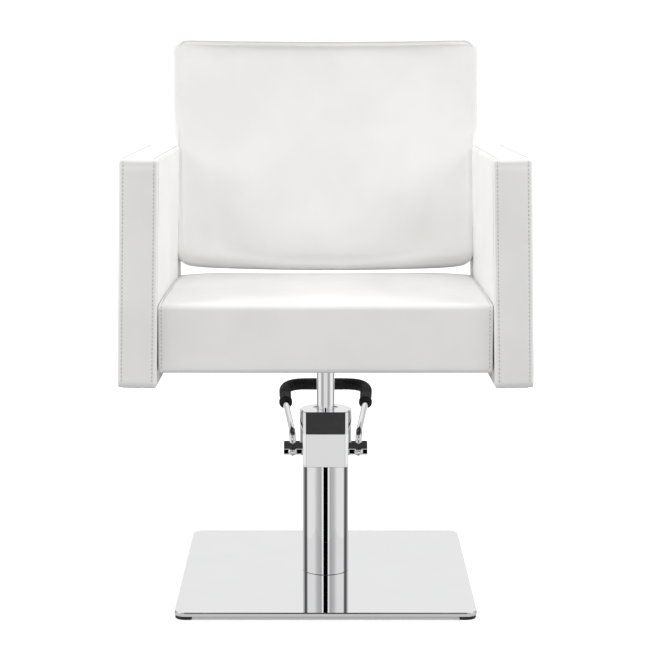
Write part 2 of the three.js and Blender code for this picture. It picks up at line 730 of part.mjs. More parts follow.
function makeSeatCover() {
  const inside = SKIN + GAP;
  return cut(
    slabX(seatOutline(0, SEAT_LOW), -SEAT_HALF, SEAT_HALF, PAD_EDGE),
    slabX(seatOutline(SKIN, SEAT_LOW - 20), -SEAT_HALF + SKIN, SEAT_HALF - SKIN, INNER_EDGE),
    box(-SEAT_HALF + inside, SEAT_HALF - inside, SEAT_FRONT + inside, SEAT_REAR - inside, 0, SEAT_LOW + 2),
  );
}

function makeSeatFoam() {
  const inset = SKIN + GAP;
  return cut(
    slabX(seatOutline(inset, SEAT_LOW + GAP), -SEAT_HALF + inset, SEAT_HALF - inset, INNER_EDGE),
    box(
      -BOARD_HALF - GAP,
      BOARD_HALF + GAP,
      BOARD_FRONT - GAP,
      BOARD_REAR + GAP,
      0,
      SEAT_LOW + BOARD_THICK + GAP,
    ),
  );
}

function makeSeatBoard() {
  const outline = rectangle(-BOARD_HALF, BOARD_FRONT, BOARD_HALF, BOARD_REAR, 8);
  const nutHoles = mountBoltPlaces.map(([x, y]) => (
    rodZ(BOLT_HOLE, x, y, 0, SEAT_LOW + MOUNT_BOLT_DEPTH + 1, 8)
  ));
  return cut(slabZ(outline, SEAT_LOW, SEAT_LOW + BOARD_THICK), ...nutHoles);
}

function makeDustCover() {
  const front = BOARD_FRONT + DUST_COVER_INSET;
  const rear = BOARD_REAR - DUST_COVER_INSET;
  const outline = rectangle(-DUST_COVER_HALF, front, DUST_COVER_HALF, rear, 14);
  const top = SEAT_LOW - GAP;
  const low = top - DUST_COVER_THICK;
  return cut(slabZ(outline, low, top), ...boltHoles(mountBoltPlaces, low, top));
}

add(shell, 'seat_cover', makeSeatCover(), 'leatherette');
add(shell, 'seat_foam', makeSeatFoam(), 'foam');
add(shell, 'seat_board', makeSeatBoard(), 'plywood');
add(shell, 'seat_dust_cover', makeDustCover(), 'dust_cloth');

// ---------------------------------------------------------------- arms

function armOutline(inset, low) {
  const rounded = low === inset;
  return roundedOutline([
    [inset, low, rounded ? ARM_LOW_CORNER : 0],
    [ARM_DEPTH - inset, low, rounded ? ARM_LOW_CORNER : 0],
    [ARM_DEPTH - inset, ARM_HEIGHT - inset, ARM_REAR_CORNER - inset],
    [inset, ARM_HEIGHT - inset, ARM_FRONT_CORNER - inset],
  ]);
}

// Holes for the seat bolts and the back hanger's studs, through the arm's inner wall.
function armHoles(side, depth) {
  return [
    ...ARM_BOLTS.map(([, y]) => rodX(BOLT_HOLE, side * -5, side * depth, y, ARM_BOLT_Z, 8)),
    ...STUD_ZS.map((z) => rodX(STUD_RADIUS + 0.4, side * -5, side * depth, HANGER_Y, z, 8)),
  ];
}

function makeArmCover(side) {
  const inside = slabX(armOutline(SKIN, -10), side * SKIN, side * (ARM_THICK - SKIN), INNER_EDGE);
  const outer = slabX(armOutline(0, 0), 0, side * ARM_THICK, PAD_EDGE);
  return cut(outer, inside, ...armHoles(side, 10));
}

function makeArmFoam(side) {
  const inset = SKIN + GAP;
  const body = slabX(armOutline(inset, inset), side * inset, side * (ARM_THICK - inset), INNER_EDGE);
  const slot = box(
    side * (ARM_BOARD_X - GAP),
    side * (ARM_BOARD_X + ARM_BOARD_THICK + GAP),
    ARM_BOARD_INSET - 1,
    ARM_DEPTH - ARM_BOARD_INSET + 1,
    -10,
    ARM_BOARD_TOP + 1,
  );
  return cut(body, slot, ...armHoles(side, ARM_BOARD_X + 1));
}

function makeArmBoard(side) {
  const rear = ARM_DEPTH - ARM_BOARD_INSET;
  const outline = rectangle(ARM_BOARD_INSET, SKIN + 0.5, rear, ARM_BOARD_TOP, 14);
  const board = slabX(outline, side * ARM_BOARD_X, side * (ARM_BOARD_X + ARM_BOARD_THICK));
  return cut(board, ...armHoles(side, ARM_BOARD_X + ARM_BOARD_THICK - 2));
}

// Steel angle: one leaf under the seat board, the other against the arm.
function makeArmBracket(side) {
  const inner = side * -GAP;
  const low = SEAT_LOW - BRACKET_THICK - 2 * GAP;
  const wallFace = side * -(BRACKET_THICK + GAP);
  const wall = box(wallFace, inner, BRACKET_FRONT, BRACKET_REAR, low, BRACKET_TOP);
  const leaf = box(side * -BRACKET_LEAF, inner, BRACKET_FRONT, BRACKET_REAR, low, low + BRACKET_THICK);
  const holes = ARM_BOLTS.map(([, y]) => rodX(BOLT_HOLE, side * -9, side * 9, y, ARM_BOLT_Z, 8));
  return cut(joined(wall, leaf), ...holes);
}

function makeArmBolt(side, y) {
  const head = BRACKET_THICK + 2 * GAP;
  const tip = side * (ARM_BOARD_X + SCREW_DEPTH);
  return joined(
    rodX(ARM_BOLT_HEAD_RADIUS, side * -(head + ARM_BOLT_HEAD), side * -head, y, ARM_BOLT_Z, 8),
    rodX(BOLT_RADIUS, side * -(head + 1), tip, y, ARM_BOLT_Z, 8),
  );
}

// Plate with welded studs that screw into the arm's board; the back hooks over it.
function makeHanger(side) {
  const front = HANGER_Y - HANGER_HALF;
  const rear = HANGER_Y + HANGER_HALF;
  const outline = rectangle(front, HANGER_LOW, rear, HANGER_HIGH, 4);
  const plate = slabX(outline, side * -(BRACKET_THICK + GAP), side * -GAP);
  const studs = STUD_ZS.map((z) => (
    rodX(STUD_RADIUS, side * -1, side * (ARM_BOARD_X + SCREW_DEPTH), HANGER_Y, z, 12)
  ));
  return joined(plate, ...studs);
}

for (const [name, side] of [['left', -1], ['right', 1]]) {
  const arm = new THREE.Group();
  arm.position.x = side * ARM_INNER_LOW;
  arm.rotation.y = -side * ARM_LEAN * DEG;
  shell.add(arm);
  add(arm, `arm_cover_${name}`, makeArmCover(side), 'leatherette');
  add(arm, `arm_foam_${name}`, makeArmFoam(side), 'foam');
  add(arm, `arm_board_${name}`, makeArmBoard(side), 'plywood');
  add(arm, `arm_bracket_${name}`, makeArmBracket(side), 'black_steel');
  for (const [end, y] of ARM_BOLTS) {
    add(arm, `arm_bolt_${name}_${end}`, makeArmBolt(side, y), 'machined_steel');
  }
  add(arm, `back_hanger_${name}`, makeHanger(side), 'black_steel');
}

// ---------------------------------------------------------------- back

const back = new THREE.Group();
back.position.set(0, BACK_Y, BACK_Z);
back.rotation.x = -BACK_RECLINE * DEG;
shell.add(back);

function backOutline(inset) {
  const half = BACK_HALF - inset;
  const top = BACK_HEIGHT - inset;
  const low = BACK_SIDE_LOW + inset;
  const apex = inset - 0.64 * BACK_SIDE_LOW;
  return roundedOutline([
    [half, low, BACK_CORNER_LOW - inset],
    [half, top, BACK_CORNER_TOP - inset / 2],
    [-half, top, BACK_CORNER_TOP - inset / 2],
    [-half, low, BACK_CORNER_LOW - inset],
    [0, apex, 0.78 * half],
  ]);
}

// Pockets in the back's sides that hook over the hangers on the arms.
function hangerPockets() {
  const { inner, outer, front, rear, low, high } = POCKET;
  return [-1, 1].map((side) => box(side * inner, side * outer, front, rear, low, high));
}

function makeBackCover() {
  return cut(
    slabY(backOutline(0), 0, BACK_SHELL_THICK, PAD_EDGE, BACK_STEPS),
    slabY(backOutline(SKIN), SKIN, BACK_THICK, INNER_EDGE, BACK_STEPS),
    ...hangerPockets(),
  );
}

function makeBackFoam() {
  return cut(
    slabY(backOutline(SKIN + GAP), SKIN + GAP, BACK_SHELL_THICK, INNER_EDGE, BACK_STEPS),
    slabY(backOutline(BACK_BOARD_INSET), BACK_BOARD_FRONT, BACK_THICK, 0, BACK_STEPS),
    ...hangerPockets(),
  );
}

function makeBackBoard() {
  const outline = backOutline(BACK_BOARD_INSET + GAP);
  return slabY(outline, BACK_BOARD_FRONT + GAP, BACK_SHELL_THICK, 0, BACK_STEPS);
}

function makeBackPanel() {
  return slabY(backOutline(2), BACK_SHELL_THICK + GAP, BACK_THICK, 3, BACK_STEPS);
}

add(back, 'back_cover', makeBackCover(), 'leatherette');
add(back, 'back_foam', makeBackFoam(), 'foam');
add(back, 'back_board', makeBackBoard(), 'plywood');
add(back, 'back_panel', makeBackPanel(), 'leatherette');

export default group;
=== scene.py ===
"""Styling chair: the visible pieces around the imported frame. Lengths in this file are millimetres, angles degrees."""

import json
import math

import bmesh
import bpy
from mathutils import Matrix, Vector, noise
from mathutils.bvhtree import BVHTree


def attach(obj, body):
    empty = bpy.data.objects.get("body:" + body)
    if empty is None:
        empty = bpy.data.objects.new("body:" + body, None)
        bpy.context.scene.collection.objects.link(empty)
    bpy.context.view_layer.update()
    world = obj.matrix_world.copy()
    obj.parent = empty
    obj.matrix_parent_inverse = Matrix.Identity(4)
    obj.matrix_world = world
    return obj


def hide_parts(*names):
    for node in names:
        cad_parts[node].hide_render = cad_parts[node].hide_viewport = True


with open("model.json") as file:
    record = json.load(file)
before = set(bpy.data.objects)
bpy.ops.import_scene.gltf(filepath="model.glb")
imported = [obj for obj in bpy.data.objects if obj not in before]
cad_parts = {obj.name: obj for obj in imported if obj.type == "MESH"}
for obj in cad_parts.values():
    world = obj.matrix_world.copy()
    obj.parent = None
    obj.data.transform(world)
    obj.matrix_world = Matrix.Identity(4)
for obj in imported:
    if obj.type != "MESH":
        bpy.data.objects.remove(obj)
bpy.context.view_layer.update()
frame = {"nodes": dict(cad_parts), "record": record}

MM = 0.001
LEFT, RIGHT = -1, 1
SIDES = {"left": LEFT, "right": RIGHT}

# Base and pump
BASE_HALF = 240
BASE_CORNER = 17
BASE_TOP = 12
RIM_LOW = 5.6
COLUMN_RADIUS = 39
COLUMN_BORE = 36.7
COLUMN_LOW, COLUMN_HIGH = 12.3, 213.7
HEAD_RADIUS = 44
HEAD_LOW, HEAD_TOP = 214, 291
ROD_RADIUS = 15
ROD_LOW, ROD_TOP = 80.3, 380
GLAND_BORE = 15.2

# Pedal
SHAFT_Y, SHAFT_Z = -30, 230
BAR_START, BAR_NOTCH, BAR_END = 38.5, 41.3, 70
BAR_NOTCH_Y = -27.5
LEG_X = 55
PEDAL_ROD_RADIUS = 5.5
GRIP_RADIUS = 10.5

# Chair shell
SEAT_HALF = 257.3
SEAT_BOARD = 19
ARM_THICK = 59.8
ARM_DEPTH, ARM_HEIGHT = 500, 346
BACK_HALF = 256
BACK_HEIGHT = 395
BACK_THICK = 71
BACK_BOW = 2.5
BACK_ROLL = 32
STITCH_PITCH = 6.2


def placed(x, y, z, axis="X", degrees=0.0):
    return Matrix.Translation(Vector((x, y, z)) * MM) @ Matrix.Rotation(math.radians(degrees), 4, axis)


SHELL = placed(0, -270, 384, "X", -2)
ARM = {side: SHELL @ placed(side * 260, 0, 0, "Y", -side * 1.24) for side in (LEFT, RIGHT)}
BACK = SHELL @ placed(0, 415.4, 137.6, "X", -3.5)
WORLD = Matrix.Identity(4)

scene = bpy.context.scene

# ---------------------------------------------------------------- materials


class Finish:
    """A node material on the Principled shader, with noise-driven colour, roughness and relief."""

    def __init__(self, name, roughness, metallic=0.0, **sockets):
        self.material = bpy.data.materials.new(name)
        self.material.use_nodes = True
        self.tree = self.material.node_tree
        self.shader = self.tree.nodes["Principled BSDF"]
        self.shader.inputs["Roughness"].default_value = roughness
        self.shader.inputs["Metallic"].default_value = metallic
        for socket, value in sockets.items():
            self.shader.inputs[socket.replace("_", " ")].default_value = value
        self.place = self.tree.nodes.new("ShaderNodeTexCoord").outputs["Object"]
        self.relief = None

    def link(self, a, b):
        self.tree.links.new(a, b)

    def stretched(self, scale):
        mapping = self.tree.nodes.new("ShaderNodeMapping")
        mapping.inputs["Scale"].default_value = scale
        self.link(self.place, mapping.inputs["Vector"])
        return mapping.outputs["Vector"]

    def noise(self, per_metre, detail=3.0, stretch=None):
        node = self.tree.nodes.new("ShaderNodeTexNoise")
        node.inputs["Scale"].default_value = per_metre
        node.inputs["Detail"].default_value = detail
        self.link(self.stretched(stretch) if stretch else self.place, node.inputs["Vector"])
        return node.outputs["Fac"]

    def cells(self, per_metre, feature="F1"):
        node = self.tree.nodes.new("ShaderNodeTexVoronoi")
        node.feature = feature
        node.inputs["Scale"].default_value = per_metre
        self.link(self.place, node.inputs["Vector"])
        return node.outputs["Distance"]

    def wave(self, per_metre, direction="X", distortion=0.0, stretch=None):
        node = self.tree.nodes.new("ShaderNodeTexWave")
        node.bands_direction = direction
        node.inputs["Scale"].default_value = per_metre
        node.inputs["Distortion"].default_value = distortion
        self.link(self.stretched(stretch) if stretch else self.place, node.inputs["Vector"])
        return node.outputs["Fac"]

    def ramp(self, source, stops):
        node = self.tree.nodes.new("ShaderNodeValToRGB")
        elements = node.color_ramp.elements
        while len(elements) < len(stops):
            elements.new(0.5)
        for element, (position, colour) in zip(elements, stops):
            element.position = position
            element.color = (*colour, 1)
        self.link(source, node.inputs["Fac"])
        return node.outputs["Color"]

    def colour(self, source, dark, light, low=0.35, high=0.65):
        self.link(self.ramp(source, [(low, dark), (high, light)]), self.shader.inputs["Base Color"])
        return self

    def rough(self, source, low, high):
        node = self.tree.nodes.new("ShaderNodeMapRange")
        node.inputs["To Min"].default_value = low
        node.inputs["To Max"].default_value = high
        self.link(source, node.inputs["Value"])
        self.link(node.outputs["Result"], self.shader.inputs["Roughness"])
        return self

    def bump(self, source, height_mm, strength=1.0):
        node = self.tree.nodes.new("ShaderNodeBump")
        node.inputs["Strength"].default_value = strength
        node.inputs["Distance"].default_value = height_mm * MM
        self.link(source, node.inputs["Height"])
        if self.relief is not None:
            self.link(self.relief, node.inputs["Normal"])
        self.relief = node.outputs["Normal"]
        self.link(self.relief, self.shader.inputs["Normal"])
        return self


def leatherette():
    f = Finish("white leatherette", 0.5, Specular_IOR_Level=0.3)
    f.colour(f.noise(9, 4), (0.80, 0.795, 0.785), (0.845, 0.84, 0.83))
    f.rough(f.noise(30, 2), 0.44, 0.56)
    f.bump(f.cells(900), 0.05, 0.5)
    f.bump(f.noise(1500, 2), 0.02, 0.5)
    return f.material


def thread():
    f = Finish("sewing thread with painted shade", 0.7, Sheen_Weight=0.15)
    # The grey, well below the leather's white, is partly the thread's own tone and partly painted shade of the stitch
    # dimples and needle holes.
    f.colour(f.noise(300), (0.42, 0.42, 0.42), (0.52, 0.52, 0.51))
    f.bump(f.wave(900, "DIAGONAL"), 0.1, 0.8)
    return f.material


def bright_metal(name, colour, low, high, scuffs=0.004):
    f = Finish(name, low, 1.0)
    f.colour(f.noise(14), tuple(0.985 * c for c in colour), colour)
    f.rough(f.noise(22, 4), low, high)
    f.bump(f.noise(60, 1), scuffs, 0.3)
    return f.material


def machined():
    f = Finish("machined steel", 0.35, 1.0)
    f.colour(f.noise(40), (0.40, 0.41, 0.42), (0.52, 0.52, 0.53))
    f.rough(f.noise(80, 4), 0.26, 0.42)
    f.bump(f.wave(900, "Z", 1.0), 0.02, 0.4)
    return f.material


def brass():
    f = Finish("bronze bearing", 0.35, 1.0)
    f.colour(f.noise(60), (0.52, 0.34, 0.13), (0.66, 0.46, 0.20))
    f.rough(f.noise(120), 0.28, 0.42)
    f.bump(f.wave(700, "Z", 0.5), 0.02, 0.4)
    return f.material


def powder_coat():
    f = Finish("black powder coat", 0.5)
    f.colour(f.noise(50), (0.012, 0.012, 0.013), (0.022, 0.022, 0.024))
    f.rough(f.noise(200), 0.42, 0.58)
    f.bump(f.noise(900, 2), 0.08, 0.6)
    return f.material


def rubber():
    f = Finish("black rubber", 0.62, Specular_IOR_Level=0.45)
    f.colour(f.noise(70), (0.010, 0.010, 0.011), (0.020, 0.020, 0.021))
    f.rough(f.noise(150), 0.45, 0.7)
    f.bump(f.noise(1200, 3), 0.04, 0.5)
    return f.material


def sealing():
    f = Finish("nitrile seal", 0.45)
    f.colour(f.noise(90), (0.014, 0.014, 0.015), (0.028, 0.028, 0.030))
    f.rough(f.noise(180), 0.38, 0.52)
    f.bump(f.noise(1500), 0.02, 0.4)
    return f.material


def foam():
    f = Finish("upholstery foam", 0.95)
    f.colour(f.noise(35), (0.55, 0.49, 0.32), (0.68, 0.61, 0.42))
    f.bump(f.cells(700), 0.4, 0.8)
    return f.material


def plywood():
    f = Finish("birch plywood", 0.6)
    f.colour(f.noise(5, 6, (30, 2, 60)), (0.36, 0.23, 0.11), (0.52, 0.36, 0.19))
    f.rough(f.noise(60), 0.52, 0.7)
    f.bump(f.noise(8, 4, (60, 3, 120)), 0.1, 0.5)
    return f.material


def woven_black():
    f = Finish("dust cover cloth", 0.9, Sheen_Weight=0.2)
    f.colour(f.cells(1400), (0.045, 0.045, 0.047), (0.075, 0.075, 0.077))
    f.bump(f.wave(500, "X"), 0.08, 0.6)
    f.bump(f.wave(500, "Y"), 0.08, 0.6)
    return f.material


LEATHER = leatherette()
# Stitch thread whose grey colour carries painted shade of the stitch dimples and needle holes.
THREAD_PAINTED_SHADE = thread()
CHROME = bright_metal("chrome", (0.93, 0.93, 0.94), 0.0, 0.015, 0.0005)
STAINLESS = bright_metal("polished stainless", (0.92, 0.92, 0.925), 0.01, 0.03, 0.0005)
STEEL = machined()
BRASS = brass()
COAT = powder_coat()
RUBBER = rubber()
SEAL = sealing()
METALS = ("chrome", "polished_steel", "machined_steel", "brass")
FINISHES = {
    "leatherette": LEATHER,
    "foam": foam(),
    "plywood": plywood(),
    "dust_cloth": woven_black(),
    "chrome": CHROME,
    "polished_steel": STAINLESS,
    "machined_steel": STEEL,
    "black_steel": COAT,
    "brass": BRASS,
    "black_rubber": RUBBER,
    "seal": SEAL,
}

# ---------------------------------------------------------------- mesh tools


def even(mesh):
    """The mesh with normals weighted by face area, so that flat and straight faces reflect truly."""
    obj = bpy.data.objects.new("even", mesh)
    scene.collection.objects.link(obj)
    modifier = obj.modifiers.new("even", "WEIGHTED_NORMAL")
    modifier.keep_sharp = True
    modifier.weight = 100
    bpy.context.view_layer.update()
    result = bpy.data.meshes.new_from_object(obj.evaluated_get(bpy.context.evaluated_depsgraph_get()))
    bpy.data.objects.remove(obj)
    return result


def mesh_of(name, points, faces, matrix=WORLD, sharp=30):
    """A mesh in the row frame from millimetre points, smooth but for its edges sharper than the angle."""
    mesh = bpy.data.meshes.new(name)
    mesh.from_pydata([matrix @ (Vector(p) * MM) for p in points], [], faces)
    bm = bmesh.new()
    bm.from_mesh(mesh)
    bmesh.ops.remove_doubles(bm, verts=bm.verts, dist=1e-7)
    bmesh.ops.recalc_face_normals(bm, faces=bm.faces)
    bm.to_mesh(mesh)
    bm.free()
    mesh.shade_smooth()
    mesh.set_sharp_from_angle(angle=math.radians(sharp))
    return mesh


def piece(name, mesh, body, slot, material=None, replaces=()):
    if slot in METALS:
        mesh = even(mesh)
    obj = bpy.data.objects.new(name, mesh)
    scene.collection.objects.link(obj)
    mesh.materials.clear()
    mesh.materials.append(material or FINISHES[slot])
    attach(obj, body)
    if replaces:
        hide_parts(*replaces)
    return obj


def combined(parts):
    """One list of points and faces from several."""
    points, faces = [], []
    for more_points, more_faces in parts:
        start = len(points)
        points.extend(more_points)
        faces.extend(tuple(start + i for i in face) for face in more_faces)
    return points, faces


def filleted(corners, steps=5):
    """Points along a polyline of (a, b, radius) corners, with each corner rounded to its radius."""
    points = []
    count = len(corners)
    for i, (a, b, radius) in enumerate(corners):
        corner = Vector((a, b))
        if radius == 0:
            points.append(corner)
            continue
        before = (Vector(corners[(i - 1) % count][:2]) - corner).normalized()
        after = (Vector(corners[(i + 1) % count][:2]) - corner).normalized()
        half = before.angle(after) / 2
        centre = corner + (before + after).normalized() * radius / math.sin(half)
        start = corner + before * radius / math.tan(half) - centre
        end = corner + after * radius / math.tan(half) - centre
        for k in range(steps + 1):
            points.append(centre + turned_between(start, end, k / steps))
    return [tuple(p) for p in points]


def turned_between(start, end, t):
    """start turned towards end by the share t of the angle between them."""
    angle = start.angle_signed(end) * t
    cosine, sine = math.cos(-angle), math.sin(-angle)
    return Vector((start.x * cosine - start.y * sine, start.x * sine + start.y * cosine))


def lathe(profile, segments=96, centre=(0, 0)):
    """Points and faces of a closed turned body; profile is a closed or axis-to-axis list of (radius, z)."""
    points, faces, rings = [], [], []
    for radius, z in profile:
        if radius < 1e-6:
            rings.append([len(points)] * segments)
            points.append((centre[0], centre[1], z))
        else:
            rings.append(list(range(len(points), len(points) + segments)))
            for k in range(segments):
                angle = 2 * math.pi * k / segments
                points.append((centre[0] + radius * math.cos(angle), centre[1] + radius * math.sin(angle), z))
    pairs = list(zip(rings, rings[1:]))
    if profile[0][0] > 1e-6:
        pairs.append((rings[-1], rings[0]))
    for low, high in pairs:
        for k in range(segments):
            n = (k + 1) % segments
            face = [low[k], low[n], high[n], high[k]]
            face = [v for j, v in enumerate(face) if v != face[j - 1]]
            if len(face) > 2:
                faces.append(tuple(face))
    return points, faces


def stacked(loops, close_low=True, close_high=True):
    """Points and faces of a body through closed loops of equal length."""
    count = len(loops[0])
    points = [p for loop in loops for p in loop]
    faces = []
    for i in range(len(loops) - 1):
        for k in range(count):
            n = (k + 1) % count
            faces.append((i * count + k, i * count + n, (i + 1) * count + n, (i + 1) * count + k))
    if close_low:
        faces.append(tuple(reversed(range(count))))
    if close_high:
        faces.append(tuple(range((len(loops) - 1) * count, len(loops) * count)))
    return points, faces


def plate(outline, low, high, edge=0.6, steps=3):
    """An outline of (x, y) points with rounded rims, from low to high."""
    centre = sum((Vector(p) for p in outline), Vector((0, 0))) / len(outline)

    def ring(inset, z):
        loop = []
        for i, p in enumerate(outline):
            before, here, after = Vector(outline[i - 1]), Vector(p), Vector(outline[(i + 1) % len(outline)])
            along = (after - before).normalized()
            inward = Vector((-along.y, along.x))
            if inward.dot(centre - here) < 0:
                inward = -inward
            loop.append((*(here + inward * inset), z))
        return loop

    arcs = [math.pi / 2 * k / steps for k in range(steps + 1)]
    loops = [ring(edge * (1 - math.sin(a)), low + edge * (1 - math.cos(a))) for a in arcs]
    loops += [ring(edge * (1 - math.cos(a)), high - edge * (1 - math.sin(a))) for a in arcs]
    return stacked(loops)


def tube(path, radius_at, sides=24, ends=True):
    """A tube along the path; radius_at(i, angle) gives the distance from its axis."""
    path = [Vector(p) for p in path]
    upright = abs((path[1] - path[0]).normalized().z) > 0.9
    side = Vector((0, 1, 0)) if upright else Vector((0, 0, 1))
    loops = []
    for i, here in enumerate(path):
        along = (path[min(i + 1, len(path) - 1)] - path[max(i - 1, 0)]).normalized()
        side = (side - along * side.dot(along)).normalized()
        across = along.cross(side)
        loop = []
        for k in range(sides):
            angle = 2 * math.pi * k / sides
            out = side * math.cos(angle) + across * math.sin(angle)
            loop.append(tuple(here + out * radius_at(i, angle)))
        loops.append(loop)
    return stacked(loops, ends, ends)


def soft_box(size, edge, segments=4):
    """Points and faces of a box of full size (x, y, z) round the origin, with rounded edges."""
    bm = bmesh.new()
    bmesh.ops.create_cube(bm, size=1)
    bmesh.ops.scale(bm, vec=Vector(size), verts=bm.verts)
    bmesh.ops.bevel(bm, geom=bm.edges[:], offset=edge, segments=segments, profile=0.5, affect="EDGES")
    points = [tuple(v.co) for v in bm.verts]
    faces = [tuple(v.index for v in f.verts) for f in bm.faces]
    bm.free()
    return points, faces


def moved(body, matrix):
    """Points of a body moved by a matrix whose translation is in millimetres."""
    points, faces = body
    return [tuple(matrix @ Vector(p)) for p in points], faces


def shifted(body, x, y, z):
    return moved(body, Matrix.Translation((x, y, z)))


# ---------------------------------------------------------------- base and pump


def rounded_square(half, corner, steps=10):
    return filleted([(-half, -half, corner), (half, -half, corner), (half, half, corner), (-half, half, corner)], steps)


def base_cover():
    """A folded sheet: its top, a small bend, a rim and the hollow underneath."""
    bend, sheet = 1.6, 1.0

    def ring(inset, z):
        return [(x, y, z) for x, y in rounded_square(BASE_HALF - inset, BASE_CORNER - inset)]

    arcs = [math.pi / 2 * k / 4 for k in range(5)]
    outside = [ring(0, RIM_LOW), ring(0, BASE_TOP - bend - 0.2)] + [ring(bend * (1 - math.cos(a)), BASE_TOP - bend * (1 - math.sin(a))) for a in arcs]
    inner = bend - sheet
    inside = [ring(sheet + inner * (1 - math.cos(a)), BASE_TOP - sheet - inner * (1 - math.sin(a))) for a in arcs]
    inside = [ring(sheet, RIM_LOW)] + inside
    count = len(outside[0])
    points, faces = stacked(list(reversed(outside)) + inside, True, True)
    assert len(points) == count * len(outside + inside)
    return points, faces


piece("base_cover_sheet", mesh_of("base_cover_sheet", *base_cover(), sharp=25), "base", "polished_steel",
      replaces=["base_cover"])

FOOT_OUTLINE = [(212, 239, 2), (212, 226, 5), (226, 212, 5), (239, 212, 2), (239, 239, 16)]
for end, along in (("front", -1), ("rear", 1)):
    for word, side in SIDES.items():
        outline = [(side * x, along * y) for x, y in filleted(FOOT_OUTLINE, 6)]
        name = f"foot_{end}_{word}"
        piece(f"{name}_glide", mesh_of(name, *plate(outline, 0, 5.2, 0.8)), "base", "black_rubber", replaces=[name])

SLEEVE = filleted([
    (COLUMN_BORE, COLUMN_LOW, 0.3), (COLUMN_RADIUS, COLUMN_LOW, 0.8),
    (COLUMN_RADIUS, COLUMN_HIGH, 0.5), (COLUMN_BORE, COLUMN_HIGH, 0.3),
])
piece("column_tube", mesh_of("column_tube", *lathe(SLEEVE, 160)), "base", "chrome", replaces=["column_sleeve"])

NOSE_LOW = 201
NOSE_FRONT = -50
NOSE_LIP_BACK = -14
NOSE_DRAFT = 0.5
SLOPE_BACK = -33
SLOPE_PLACE = Vector((0, NOSE_FRONT, 257.5))
SLOPE = Vector((0, SLOPE_PLACE.z - HEAD_TOP, SLOPE_BACK - NOSE_FRONT)).normalized()
HEAD_PROFILE = filleted([
    (20.6, 262, 0), (36, 262, 0), (36, HEAD_LOW, 0.6), (HEAD_RADIUS, HEAD_LOW, 1.2),
    (HEAD_RADIUS, HEAD_TOP, 4.5), (23, HEAD_TOP, 0.5), (22, HEAD_TOP - 1, 0.3), (20.6, HEAD_TOP - 1, 0.3),
])


def nose_body():
    """The head's flat nose: a block cut off along the slope, with chamfers down both front corners."""
    bm = bmesh.new()
    bmesh.ops.create_cube(bm, size=1)
    for v in bm.verts:
        v.co = Vector((v.co.x * 76, 6 if v.co.y > 0 else NOSE_FRONT, HEAD_TOP if v.co.z > 0 else NOSE_LOW))
    bmesh.ops.bisect_plane(bm, geom=bm.verts[:] + bm.edges[:] + bm.faces[:], plane_co=SLOPE_PLACE, plane_no=SLOPE,
                           clear_outer=True)
    bmesh.ops.holes_fill(bm, edges=[e for e in bm.edges if e.is_boundary])
    corners = [e for e in bm.edges if abs(e.verts[0].co.x - e.verts[1].co.x) < 1
               and max(v.co.y for v in e.verts) < SLOPE_BACK + 1 and abs(e.verts[0].co.z - e.verts[1].co.z) > 5]
    bmesh.ops.bevel(bm, geom=corners, offset=5.5, segments=1, affect="EDGES")
    edges = [e for e in bm.edges if e.calc_face_angle(0) > math.radians(15) and max(v.co.y for v in e.verts) < -25]
    bmesh.ops.bevel(bm, geom=edges, offset=0.8, segments=3, profile=0.5, affect="EDGES")
    for v in bm.verts:
        if v.co.y < 0:
            v.co.y += (v.co.z - NOSE_LOW) * math.tan(math.radians(NOSE_DRAFT))
    points = [tuple(v.co) for v in bm.verts]
    faces = [tuple(v.index for v in f.verts) for f in bm.faces]
    bm.free()
    return points, faces


def round_head():
    """The turned head, cut a hair behind the nose's slope."""
    bm = bmesh.new()
    bm.from_mesh(mesh_of("round_head", *lathe(HEAD_PROFILE, 160)))
    bmesh.ops.bisect_plane(bm, geom=bm.verts[:] + bm.edges[:] + bm.faces[:],
                           plane_co=(SLOPE_PLACE + Vector((0, 1.4, 0))) * MM, plane_no=SLOPE, clear_outer=True)
    bmesh.ops.holes_fill(bm, edges=[e for e in bm.edges if e.is_boundary])
    points = [tuple(v.co / MM) for v in bm.verts]
    faces = [tuple(v.index for v in f.verts) for f in bm.faces]
    bm.free()
    return points, faces


def solid(name, body):
    obj = bpy.data.objects.new(name, mesh_of(name, *body))
    scene.collection.objects.link(obj)
    return obj


def head_casting():
    """The round head and its nose made one, cut clear of the column."""
    head = solid("head_casting", round_head())
    nose = solid("head_nose", nose_body())
    column = solid("head_column", lathe([(0, NOSE_LOW - 9), (COLUMN_RADIUS + 0.3, NOSE_LOW - 9),
                                         (COLUMN_RADIUS + 0.3, HEAD_LOW), (0, HEAD_LOW)], 160))
    behind = solid("head_behind", shifted(soft_box((120, 40, HEAD_LOW - NOSE_LOW + 9), 0.1, 1), 0, NOSE_LIP_BACK + 20,
                                          (HEAD_LOW + NOSE_LOW - 9) / 2))
    for operation, obj in (("UNION", nose), ("DIFFERENCE", column), ("DIFFERENCE", behind)):
        modifier = head.modifiers.new(operation, "BOOLEAN")
        modifier.operation, modifier.solver, modifier.object = operation, "EXACT", obj
    bpy.context.view_layer.update()
    mesh = bpy.data.meshes.new_from_object(head.evaluated_get(bpy.context.evaluated_depsgraph_get()))
    for obj in (head, nose, column, behind):
        bpy.data.objects.remove(obj)
    mesh.shade_smooth()
    mesh.set_sharp_from_angle(angle=math.radians(24))
    return mesh


piece("head_casting", head_casting(), "base", "chrome", replaces=["head_housing"])

